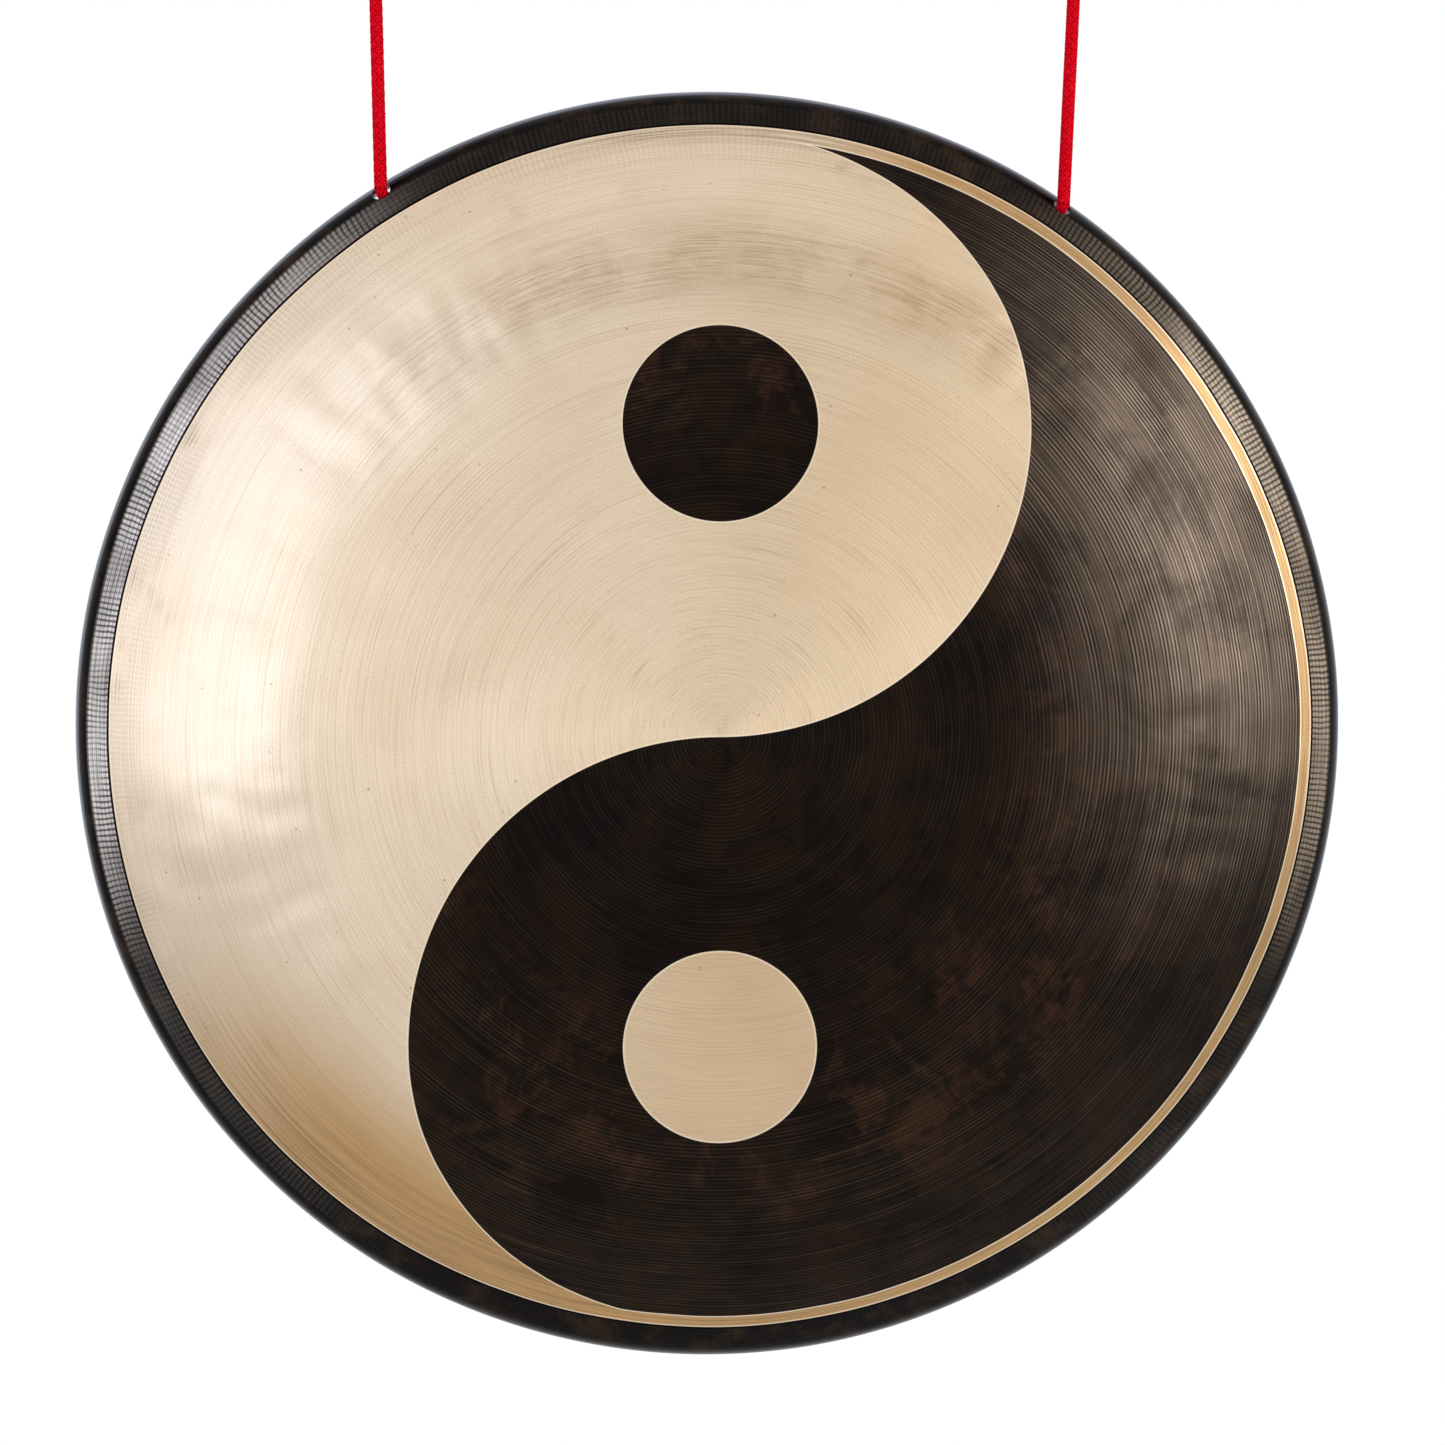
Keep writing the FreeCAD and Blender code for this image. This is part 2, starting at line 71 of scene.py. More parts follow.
def arc_point(arc, slope):
    """Radius and depth of an arc's point at a slope."""
    (across, along), bend, _, _ = arc
    return across + bend * np.sin(slope), along - bend * np.cos(slope)


def make_section():
    """The section's four arcs as (centre, bend, first slope, last slope)."""
    face_bend = (FACE_RADIUS ** 2 + FACE_RISE ** 2) / (2 * FACE_RISE)
    face_slope = math.asin(FACE_RADIUS / face_bend)
    face = ((0, face_bend), face_bend, 0, face_slope)
    face_end = arc_point(face, face_slope)
    crease_centre = (
        face_end[0] - CREASE_BEND * math.sin(face_slope),
        face_end[1] + CREASE_BEND * math.cos(face_slope),
    )
    crease_slope = math.asin((CREASE_END_RADIUS - crease_centre[0]) / CREASE_BEND)
    crease = (crease_centre, CREASE_BEND, face_slope, crease_slope)
    slope_centre = (
        crease_centre[0] - (SLOPE_BEND - CREASE_BEND) * math.sin(crease_slope),
        crease_centre[1] + (SLOPE_BEND - CREASE_BEND) * math.cos(crease_slope),
    )
    band_slope = math.asin((BAND_EDGE_RADIUS - slope_centre[0]) / SLOPE_BEND)
    slope = (slope_centre, SLOPE_BEND, crease_slope, band_slope)
    band_edge = arc_point(slope, band_slope)
    corner_across = GONG_RADIUS - CORNER_BEND
    shoulder_run = corner_across + CORNER_BEND * math.sin(band_slope) - band_edge[0]
    corner_along = band_edge[1] + shoulder_run * math.tan(band_slope)
    corner_along += CORNER_BEND * math.cos(band_slope)
    corner = ((corner_across, corner_along), CORNER_BEND, band_slope, math.pi / 2 + RIM_TAPER)
    return {"face": face, "crease": crease, "slope": slope, "corner": corner}


SECTION = make_section()
SHOULDER_LENGTH = math.dist(
    arc_point(SECTION["slope"], SECTION["slope"][3]), arc_point(SECTION["corner"], SECTION["corner"][2])
)
RIM_START = arc_point(SECTION["corner"], SECTION["corner"][3])
RIM_LENGTH = (GONG_DEPTH - RIM_START[1]) / math.cos(RIM_TAPER)


def sample_section(arc_steps, shoulder_steps, rim_steps):
    """Rows of (s, radius, depth, slope) from the middle to the back edge."""
    rows = []
    travelled = 0
    for name, steps in zip(SECTION, arc_steps):
        arc = SECTION[name]
        if name == "corner":
            start = arc_point(SECTION["slope"], SECTION["slope"][3])
            end = arc_point(arc, arc[2])
            for share in np.arange(1, shoulder_steps) / shoulder_steps:
                radius = start[0] + (end[0] - start[0]) * share
                depth = start[1] + (end[1] - start[1]) * share
                rows.append((travelled + SHOULDER_LENGTH * share, radius, depth, arc[2]))
            travelled += SHOULDER_LENGTH
        first = 0 if name in ("face", "corner") else 1
        for share in np.arange(first, steps + 1) / steps:
            slope = arc[2] + (arc[3] - arc[2]) * share
            radius, depth = arc_point(arc, slope)
            rows.append((travelled + arc[1] * (slope - arc[2]), radius, depth, slope))
        travelled += arc[1] * (arc[3] - arc[2])
    rim_slope = SECTION["corner"][3]
    for share in np.arange(1, rim_steps + 1) / rim_steps:
        radius = RIM_START[0] - RIM_LENGTH * share * math.sin(RIM_TAPER)
        depth = RIM_START[1] + RIM_LENGTH * share * math.cos(RIM_TAPER)
        rows.append((travelled + RIM_LENGTH * share, radius, depth, rim_slope))
    return np.array(rows)


def hole_in_gong(side):
    """Middle of a cord hole on the plate's outside and its outward axis, in the gong's frame."""
    radius, depth = arc_point(SECTION["corner"], HOLE_SLOPE)
    radial = Vector((side * math.sin(HOLE_ANGLE), 0, math.cos(HOLE_ANGLE)))
    front = Vector((0, -1, 0))
    centre = radial * radius - front * depth
    return centre, radial * math.sin(HOLE_SLOPE) + front * math.cos(HOLE_SLOPE)


def gong_frame():
    """The matrix that takes the gong's own frame to the part's."""
    hole, _ = hole_in_gong(1)
    pivot = Vector((0, hole.y - CORD_INSET, hole.z))
    hang_point = Vector(joints["gong_rock"]["pos_m"])
    lean = Matrix.Rotation(HANG_LEAN, 4, "X")
    return Matrix.Translation(hang_point) @ lean @ Matrix.Translation(-pivot)


GONG = gong_frame()

# The symbol's measures, along the plate's surface. The band is the bright ring round the face.
BAND_OUTER = SECTION["face"][1] * SECTION["face"][3]
BAND_OUTER += CREASE_BEND * (SECTION["crease"][3] - SECTION["crease"][2])
BAND_OUTER += SLOPE_BEND * (SECTION["slope"][3] - SECTION["slope"][2])
BAND_INNER = BAND_OUTER - 7.1 * MM
LOBE_RADIUS = 144.1 * MM
DOT_RADIUS = 45.0 * MM
SYMBOL_TURN = math.radians(1.0)
SHOULDER_END = BAND_OUTER + SHOULDER_LENGTH
SHOULDER_TICKS = 680
# Where the painted reflection on the rolled edge begins, as a slope.
REFLECTION_SLOPE = math.radians(60)
RIM_EDGE = SHOULDER_END + CORNER_BEND * (REFLECTION_SLOPE - SECTION["corner"][2])


# ---------------------------------------------------------------- camera, lights and floor

CAMERA_PLACE = (-0.1218, -1.9345, -0.5194)
CAMERA_LENS = 103.74
CAMERA_TILT = 2.33
CAMERA_TURN = -3.67
CAMERA_ROLL = 0.678
GONG_MIDDLE = Vector((0, 0, -0.44))
WORLD_STRENGTH = 1.4
# How light the studio is, from straight down (0) to straight up (1).
STUDIO_SHADES = (
    (0.0, 0.20), (0.28, 0.28), (0.35, 0.46), (0.42, 0.81),
    (0.50, 0.80), (0.62, 0.48), (0.78, 0.70), (1.0, 0.7),
)
STUDIO_BACK = (0.62, 0.65, 0.71, 1)
FLOOR_REACH = 3.0
FLOOR_HEIGHT = -1.55
FLOOR_COLOUR = (0.78, 0.775, 0.755, 1)


def add_object(name, data):
    """A new object in the scene."""
    made = bpy.data.objects.new(name, data)
    bpy.context.collection.objects.link(made)
    return made


def make_camera():
    """A camera level with the gong's lower half, a little to its left."""
    data = bpy.data.cameras.new("camera")
    data.sensor_width = 36
    data.lens = CAMERA_LENS
    data.clip_end = 50
    camera = add_object("camera", data)
    camera.location = CAMERA_PLACE
    look = Euler((math.radians(90 + CAMERA_TILT), 0, math.radians(CAMERA_TURN))).to_matrix()
    roll = Matrix.Rotation(math.radians(CAMERA_ROLL), 3, "Z")
    camera.rotation_euler = (look @ roll).to_euler()
    bpy.context.scene.camera = camera


def add_softbox(name, turn, lift, distance, size, radiance, colour):
    """An area light, turned to the right of the gong's front and lifted above level, in degrees."""
    data = bpy.data.lights.new(name, "AREA")
    data.shape = "RECTANGLE"
    data.size, data.size_y = size
    data.energy = radiance * math.pi * size[0] * size[1]
    data.color = colour
    light = add_object(name, data)
    turn, lift = math.radians(turn), math.radians(lift)
    level = math.cos(lift)
    away = Vector((math.sin(turn) * level, -math.cos(turn) * level, math.sin(lift)))
    light.location = GONG_MIDDLE + away * distance
    light.rotation_euler = away.to_track_quat("Z", "Y").to_euler()


def make_surroundings():
    """White to look at. As light, a studio that is brightest level with the gong and dim low down."""
    world = bpy.data.worlds.new("studio")
    world.use_nodes = True
    nodes = Nodes(world.node_tree)
    direction = nodes.node("ShaderNodeSeparateXYZ")
    nodes.feed(direction.inputs[0], nodes.node("ShaderNodeTexCoord").outputs["Generated"])
    ramp = nodes.node("ShaderNodeValToRGB")
    ramp.color_ramp.interpolation = "EASE"
    stops = ramp.color_ramp.elements
    stops.remove(stops[1])
    for index, (place, shade) in enumerate(STUDIO_SHADES):
        stop = stops[0] if index == 0 else stops.new(place)
        stop.position = place
        stop.color = (shade, shade * 0.995, shade, 1)
    nodes.feed(ramp.inputs[0], nodes.spread(direction.outputs[2], -1, 1, smooth=False))
    # Behind the gong the studio is an even, cooler grey.
    behind = nodes.spread(direction.outputs[1], -0.15, 0.45, smooth=False)
    studio = nodes.mix(behind, ramp.outputs[0], STUDIO_BACK)
    white = (1 / WORLD_STRENGTH, 1 / WORLD_STRENGTH, 1 / WORLD_STRENGTH, 1)
    seen = nodes.node("ShaderNodeLightPath").outputs["Is Camera Ray"]
    background = world.node_tree.nodes["Background"]
    nodes.feed(background.inputs["Color"], nodes.mix(seen, studio, white))
    background.inputs["Strength"].default_value = WORLD_STRENGTH
    bpy.context.scene.world = world


def make_floor():
    """A pale floor, well below the gong."""
    mesh = bpy.data.meshes.new("floor")
    corners = []
    for across, along in ((-1, -1), (1, -1), (1, 1), (-1, 1)):
        corners.append((across * FLOOR_REACH, along * FLOOR_REACH, FLOOR_HEIGHT))
    mesh.from_pydata(corners, [], [(0, 1, 2, 3)])
    mesh.materials.append(Shader("floor_paint").finish(Base_Color=FLOOR_COLOUR, Roughness=0.9))
    add_object("floor", mesh)


def make_studio():
    """White surroundings, a softbox on each side, and the floor."""
    bpy.context.scene.view_settings.view_transform = "Standard"
    make_surroundings()
    add_softbox("softbox_left", -46, 8, 2.1, (2.0, 1.7), 0.85, (0.86, 0.98, 1.25))
    add_softbox("softbox_right", 56, 11, 2.1, (0.72, 1.3), 5.4, (0.97, 1.0, 1.06))
    make_floor()


# ---------------------------------------------------------------- shader helpers


class Nodes:
    """A node tree, with short ways to add and link its nodes."""

    def __init__(self, tree):
        self.tree = tree

    def node(self, kind, **settings):
        """A new node with its settings."""
        node = self.tree.nodes.new(kind)
        for key, value in settings.items():
            setattr(node, key, value)
        return node

    def feed(self, socket, value):
        """Links or sets one input."""
        if isinstance(value, bpy.types.NodeSocket):
            self.tree.links.new(value, socket)
        else:
            socket.default_value = value

    def math(self, operation, *values):
        """A Math node's result."""
        node = self.node("ShaderNodeMath", operation=operation)
        for socket, value in zip(node.inputs, values):
            self.feed(socket, value)
        return node.outputs[0]

    def add(self, first, *others):
        """A sum."""
        for other in others:
            first = self.math("ADD", first, other)
        return first

    def times(self, first, *others):
        """A product."""
        for other in others:
            first = self.math("MULTIPLY", first, other)
        return first

    def spread(self, value, low, high, to_low=0.0, to_high=1.0, smooth=True):
        """Maps a range to another, clamped."""
        node = self.node("ShaderNodeMapRange")
        node.interpolation_type = "SMOOTHSTEP" if smooth else "LINEAR"
        names = ("Value", "From Min", "From Max", "To Min", "To Max")
        for name, number in zip(names, (value, low, high, to_low, to_high)):
            self.feed(node.inputs[name], number)
        return node.outputs[0]

    def within(self, value, rise, fall):
        """1 from the end of a rise to the start of a fall, and 0 outside them."""
        return self.times(self.spread(value, *rise), self.spread(value, *fall, 1.0, 0.0))

    def hypotenuse(self, across, along, *more):
        """The root of across squared and along squared, with more added."""
        squares = self.add(self.times(across, across), self.times(along, along), *more)
        return self.math("SQRT", squares)

    def combine(self, across, along, up=0.0):
        """A vector from three numbers."""
        node = self.node("ShaderNodeCombineXYZ")
        for socket, value in zip(node.inputs, (across, along, up)):
            self.feed(socket, value)
        return node.outputs[0]

    def noise(self, vector, scale, detail=2.0, roughness=0.5, distortion=0.0):
        """Noise from 0 to 1 about 0.5."""
        node = self.node("ShaderNodeTexNoise")
        self.feed(node.inputs["Vector"], vector)
        node.inputs["Scale"].default_value = scale
        node.inputs["Detail"].default_value = detail
        node.inputs["Roughness"].default_value = roughness
        node.inputs["Distortion"].default_value = distortion
        return node.outputs[0]

    def cells(self, vector, scale, feature="F1"):
        """Distance to the nearest cell point."""
        node = self.node("ShaderNodeTexVoronoi", feature=feature)
        self.feed(node.inputs["Vector"], vector)
        node.inputs["Scale"].default_value = scale
        return node.outputs["Distance"]

    def mix(self, factor, first, second, blend="MIX"):
        """Two colours mixed by a factor."""
        node = self.node("ShaderNodeMix", data_type="RGBA", blend_type=blend)
        self.feed(node.inputs[0], factor)
        self.feed(node.inputs[6], first)
        self.feed(node.inputs[7], second)
        return node.outputs[2]

    def blend_number(self, factor, first, second):
        """Two numbers mixed by a factor."""
        node = self.node("ShaderNodeMix", data_type="FLOAT")
        self.feed(node.inputs[0], factor)
        self.feed(node.inputs[2], first)
        self.feed(node.inputs[3], second)
        return node.outputs[0]

    def uv(self, name):
        """A UV map's across and along, as two numbers."""
        split = self.node("ShaderNodeSeparateXYZ")
        self.tree.links.new(self.node("ShaderNodeUVMap", uv_map=name).outputs[0], split.inputs[0])
        return split.outputs[0], split.outputs[1]

    def bump(self, height, distance, strength=1.0, normal=None):
        """A bump node's normal. Height is in units of distance, in metres."""
        node = self.node("ShaderNodeBump")
        node.inputs["Strength"].default_value = strength
        node.inputs["Distance"].default_value = distance
        self.feed(node.inputs["Height"], height)
        if normal is not None:
            self.feed(node.inputs["Normal"], normal)
        return node.outputs[0]


class Shader(Nodes):
    """A node material."""

    def __init__(self, name):
        self.material = bpy.data.materials.new(name)
        self.material.use_nodes = True
        super().__init__(self.material.node_tree)
        self.principled = self.tree.nodes["Principled BSDF"]

    def finish(self, **inputs):
        """Sets the shader's inputs by name, with _ for a space, and returns the material."""
        for name, value in inputs.items():
            self.feed(self.principled.inputs[name.replace("_", " ")], value)
        return self.material


# ---------------------------------------------------------------- bronze

# Linear red, green, blue and alpha.
CREAM = (0.80, 0.66, 0.497, 1)
TAN = (0.74, 0.585, 0.417, 1)
# Painted shade tints, and a painted highlight tint.
SHADE_YELLOWER = (0.965, 0.92, 0.83, 1)
SHADE_BROWNER = (0.87, 0.83, 0.79, 1)
LEFT_HIGHLIGHT_PALE = (0.90, 0.82, 0.73, 1)
FINE_BROWN = (0.50, 0.35, 0.21, 1)
HAIR_BROWN = (0.36, 0.24, 0.14, 1)
GRAIN_BROWN = (0.46, 0.32, 0.20, 1)
OLD_GOLD = (0.52, 0.305, 0.125, 1)
STREAK_BROWN = (0.17, 0.095, 0.05, 1)
CREASE_BROWN = (0.34, 0.195, 0.085, 1)
SPECK_BROWN = (0.22, 0.13, 0.07, 1)
SKIN_BLACK = (0.0078, 0.0055, 0.0045, 1)
SKIN_BROWN = (0.0190, 0.0102, 0.0060, 1)
RUST = (0.056, 0.024, 0.013, 1)
BLOT_BLACK = (0.0050, 0.0050, 0.0062, 1)
# Painted sheen on the skin, partly thinner skin.
THIN_SKIN_AND_SHEEN = (0.118, 0.088, 0.065, 1)
GLINT_BROWN = (0.27, 0.17, 0.10, 1)
LINE_BLACK = (0.0068, 0.0048, 0.0040, 1)
RIM_BLACK = (0.0075, 0.0062, 0.0058, 1)
RIM_BROWN = (0.030, 0.017, 0.010, 1)
TICK_BROWN = (0.36, 0.285, 0.21, 1)
# Painted highlight on the ticks at the left.
TICK_HIGHLIGHT_SILVER = (0.74, 0.68, 0.64, 1)
# Painted reflection on the rolled edge.
REFLECTED_BLUE_GREY = (0.105, 0.108, 0.128, 1)
GAP_BLACK = (0.004, 0.003, 0.003, 1)
EDGE_BROWN = (0.30, 0.18, 0.10, 1)
RING_GOLD = (0.56, 0.355, 0.165, 1)
RING_BROWN = (0.38, 0.225, 0.10, 1)
LIP_RED = (0.60, 0.28, 0.10, 1)
SCRAPED_CREAM = (0.86, 0.72, 0.54, 1)
RIDGE_BROWN = (0.30, 0.225, 0.165, 1)
VALLEY_BLACK = (0.010, 0.0075, 0.006, 1)
VALLEY_BROWN = (0.36, 0.24, 0.15, 1)
BACK_BROWN = (0.052, 0.031, 0.020, 1)
BACK_CIRCLES = (0.13, 0.085, 0.055, 1)

# The patterns are laid out in millimetres.
OUTER = BAND_OUTER / MM
INNER = BAND_INNER / MM
SHOULDER = SHOULDER_END / MM
RIM = RIM_EDGE / MM
LOBE = LOBE_RADIUS / MM
DOT = DOT_RADIUS / MM
GROOVE_PITCH = 1.8
CHATTER_PITCH = 2.4


def turned_places(shader):
    """What every bronze pattern is laid out by, in millimetres along the plate."""
    flat_x, flat_y = shader.uv("flat")
    across = shader.times(flat_x, 1000.0)
    along = shader.times(flat_y, 1000.0)
    reach = shader.hypotenuse(across, along, 0.01)
    return {
        "across": across,
        "along": along,
        "reach": reach,
        "ring_x": shader.math("DIVIDE", across, reach),
        "ring_y": shader.math("DIVIDE", along, reach),
        "flat": shader.combine(across, along),
    }


def streaks(shader, place, round_scale, reach_scale, detail=2.0, roughness=0.6):
    """Noise drawn out along the lathe's circles. Its scales are per turn and per mm outwards."""
    vector = shader.combine(
        shader.times(place["ring_x"], round_scale),
        shader.times(place["ring_y"], round_scale),
        shader.times(place["reach"], reach_scale),
    )
    return shader.noise(vector, 1.0, detail, roughness)


def symbol_edges(shader, place):
    """Distance in mm into the dark areas: below 0 on turned metal, above 0 on the fired skin."""
    times, add = shader.times, shader.add
    cosine, sine = math.cos(SYMBOL_TURN), math.sin(SYMBOL_TURN)
    across = add(times(place["across"], cosine), times(place["along"], sine))
    along = add(times(place["along"], cosine), times(place["across"], -sine))
    upper = shader.hypotenuse(across, add(along, -LOBE))
    lower = shader.hypotenuse(across, add(along, LOBE))
    light_half = shader.math("MAXIMUM", across, shader.math("SUBTRACT", LOBE, lower))
    edge = shader.math("MINIMUM", shader.math("SUBTRACT", upper, LOBE), light_half)
    edge = shader.math("MAXIMUM", edge, shader.math("SUBTRACT", DOT, upper))
    edge = shader.math("MINIMUM", edge, shader.math("SUBTRACT", lower, DOT))
    to_band = shader.math("ABSOLUTE", add(place["reach"], -(OUTER + INNER) / 2))
    edge = shader.math("MINIMUM", edge, add(to_band, -(OUTER - INNER) / 2))
    return shader.math("MAXIMUM", edge, add(place["reach"], -OUTER))


def turned_colour(shader, place):
    """Bare bronze as the lathe left it: cream to tan, with fine dark circles and stains, and painted light
    and shade across the face.
    """
    mix, spread, times, add = shader.mix, shader.spread, shader.times, shader.add
    across, along, reach, flat = (place[name] for name in ("across", "along", "reach", "flat"))
    ring_x, ring_y = place["ring_x"], place["ring_y"]
    colour = mix(spread(shader.noise(flat, 0.008, 3.0, 0.55), 0.35, 0.68), CREAM, TAN)
    # Painted shade makes it darker and yellower to the right and browner low down in the middle, and a
    # painted highlight makes it palest on the left slope.
    right_shade = spread(add(across, times(along, -0.3)), -110.0, 40.0)
    colour = mix(right_shade, colour, SHADE_YELLOWER, "MULTIPLY")
    low_shade = times(right_shade, spread(along, -40.0, -110.0))
    colour = mix(low_shade, colour, SHADE_BROWNER, "MULTIPLY")
    left_highlight = times(
        spread(reach, 170.0, 215.0),
        spread(ring_x, -0.35, -0.75),
        spread(ring_y, -0.6, -0.3),
    )
    colour = mix(times(left_highlight, 0.18), colour, LEFT_HIGHLIGHT_PALE)
    fine = streaks(shader, place, 1.6, 1.5, 3.0, 0.7)
    colour = mix(spread(fine, 0.48, 0.74, 0.0, 0.32), colour, FINE_BROWN)
    hair = streaks(shader, place, 2.2, 3.2, 1.0, 0.5)
    colour = mix(spread(hair, 0.58, 0.72, 0.0, 0.38), colour, HAIR_BROWN)
    grain = shader.noise(flat, 0.9, 2.0, 0.7)
    colour = mix(spread(grain, 0.48, 0.72, 0.0, 0.26), colour, GRAIN_BROWN)
    # Low down the slope is old gold. Towards the ring the skin wasn't wholly turned away, so
    # brown streaks stay in patches, and all along the bottom and the top.
    low = spread(ring_y, -0.3, -0.78)
    gold = times(spread(reach, 200.0, 262.0), low, 0.92)
    colour = mix(gold, colour, OLD_GOLD)
    patches = spread(shader.noise(flat, 0.016, 3.0, 0.6), 0.54, 0.70)
    high = times(spread(ring_y, 0.95, 0.99), spread(reach, 278.0, 290.0))
    places = shader.math("MAXIMUM", patches, times(low, 0.8))
    places = shader.math("MAXIMUM", places, high)
    outer = spread(reach, 236.0, 284.0)
    lines = spread(streaks(shader, place, 2.5, 1.1, 4.0, 0.75), 0.42, 0.62)
    colour = mix(times(outer, places, lines, 0.7), colour, STREAK_BROWN)
    # Soft brown streaks lie over the crease at the top.
    over = shader.math("ABSOLUTE", add(reach, -222.0))
    arc = times(spread(over, 3.0, 30.0, 1.0, 0.0), spread(ring_y, 0.4, 0.95))
    arc_lines = spread(streaks(shader, place, 8.0, 1.3, 4.0, 0.75), 0.40, 0.62, 0.2, 1.0)
    arc_clouds = spread(shader.noise(flat, 0.03, 4.0, 0.65, 0.4), 0.36, 0.62, 0.35, 1.0)
    colour = mix(times(arc, arc_lines, arc_clouds, 0.58), colour, CREASE_BROWN)
    specks = spread(shader.cells(flat, 0.11), 0.05, 0.09, 1.0, 0.0)
    rare = spread(shader.noise(flat, 0.06, 1.0), 0.56, 0.6)
    return mix(times(times(specks, rare), 0.5), colour, SPECK_BROWN)


def skin_colour(shader, place):
    """The fired skin, near black and mottled, with a painted sheen on the slope, and how strong that sheen
    and the thinner skin are, from 0 to 1.
    """
    mix, spread, times, add = shader.mix, shader.spread, shader.times, shader.add
    reach, flat = place["reach"], place["flat"]
    broad = shader.noise(flat, 0.020, 4.0, 0.62, 0.4)
    colour = mix(spread(broad, 0.36, 0.68), SKIN_BLACK, SKIN_BROWN)
    rust = times(
        spread(shader.noise(flat, 0.035, 4.0, 0.7, 0.6), 0.48, 0.64),
        spread(reach, 110.0, 170.0),
        spread(reach, 200.0, 250.0, 1.0, 0.15),
    )
    colour = mix(times(rust, 0.62), colour, RUST)
    blots = shader.noise(flat, 0.055, 2.0, 0.5, 0.5)
    colour = mix(spread(blots, 0.54, 0.66, 0.0, 0.6), colour, BLOT_BLACK)
    # Painted sheen: on the slope the skin is lighter and greyer, most of all at the upper right where the
    # right softbox is reflected. A little of this, all over the slope, is thinner skin.
    slope = shader.within(reach, (125.0, 225.0), (INNER - 1.5, INNER))
    sheen_x = add(place["across"], -218.0)
    sheen_y = add(place["along"], -100.0)
    squares = add(times(sheen_x, sheen_x), times(sheen_y, sheen_y, 0.6))
    most = spread(shader.math("SQRT", squares), 30.0, 180.0, 1.0, 0.0)
    sheen_and_thin = add(times(slope, 0.035), times(slope, most, 0.98))
    sheen_and_thin = times(sheen_and_thin, spread(broad, 0.34, 0.58, 0.45, 1.0))
    sheen_and_thin = shader.math("MINIMUM", sheen_and_thin, 1.0)
    colour = mix(sheen_and_thin, colour, THIN_SKIN_AND_SHEEN)
    # Painted glints: pale highlight lines on the skin, in patches and most on the slope.
    wear_and_sheen = shader.noise(flat, 0.013, 2.0, 0.5)
    glint = times(
        spread(streaks(shader, place, 2.0, 1.5, 3.0, 0.75), 0.50, 0.70),
        spread(wear_and_sheen, 0.40, 0.62, 0.25, 0.8),
        add(slope, 0.10),
    )
    colour = mix(times(glint, 0.20), colour, GLINT_BROWN)
    dark_lines = streaks(shader, place, 2.0, 1.7, 2.0, 0.6)
    colour = mix(spread(dark_lines, 0.50, 0.66, 0.0, 0.75), colour, LINE_BLACK)
    return colour, sheen_and_thin


def groove_wave(shader, place):
    """Lathe grooves, from -1 in a valley to 1 on a ridge."""
    wander = shader.times(shader.noise(place["flat"], 0.012, 1.0), 2.0)
    turns = shader.times(shader.add(place["reach"], wander), 2 * math.pi / GROOVE_PITCH)
    return shader.math("SINE", turns)


def groove_height(shader, place, grooves):
    """The grooves, uneven in depth, with finer scratches between them."""
    deep = shader.spread(streaks(shader, place, 2.0, 0.25, 2.0), 0.3, 0.7, 0.1, 0.5)
    fine = streaks(shader, place, 2.5, 1.6, 3.0, 0.7)
    return shader.add(shader.times(grooves, deep), fine)


def chatter_grid(shader, place):
    """The grid of ticks that the lathe tool left on the shoulder when it chattered, from 0 to 1."""
    spread, times, add = shader.spread, shader.times, shader.add
    turn, _ = shader.uv("turned")
    upward = times(place["reach"], 0.006)
    round_place = shader.combine(place["ring_x"], place["ring_y"], upward)
    wander = times(shader.noise(round_place, 9.0, 2.0, 0.5), 9.0)
    ticks = shader.math("SINE", add(times(turn, float(SHOULDER_TICKS)), wander))
    strength = spread(shader.noise(round_place, 7.0, 2.0), 0.36, 0.6, 0.25, 1.0)
    bars = spread(times(ticks, strength), -0.75, 0.25, 0.22, 1.0)
    waved = add(place["reach"], times(wander, 0.04))
    rings = shader.math("SINE", times(waved, 2 * math.pi / CHATTER_PITCH))
    return times(bars, spread(rings, -1.0, -0.35, 0.55, 1.0))


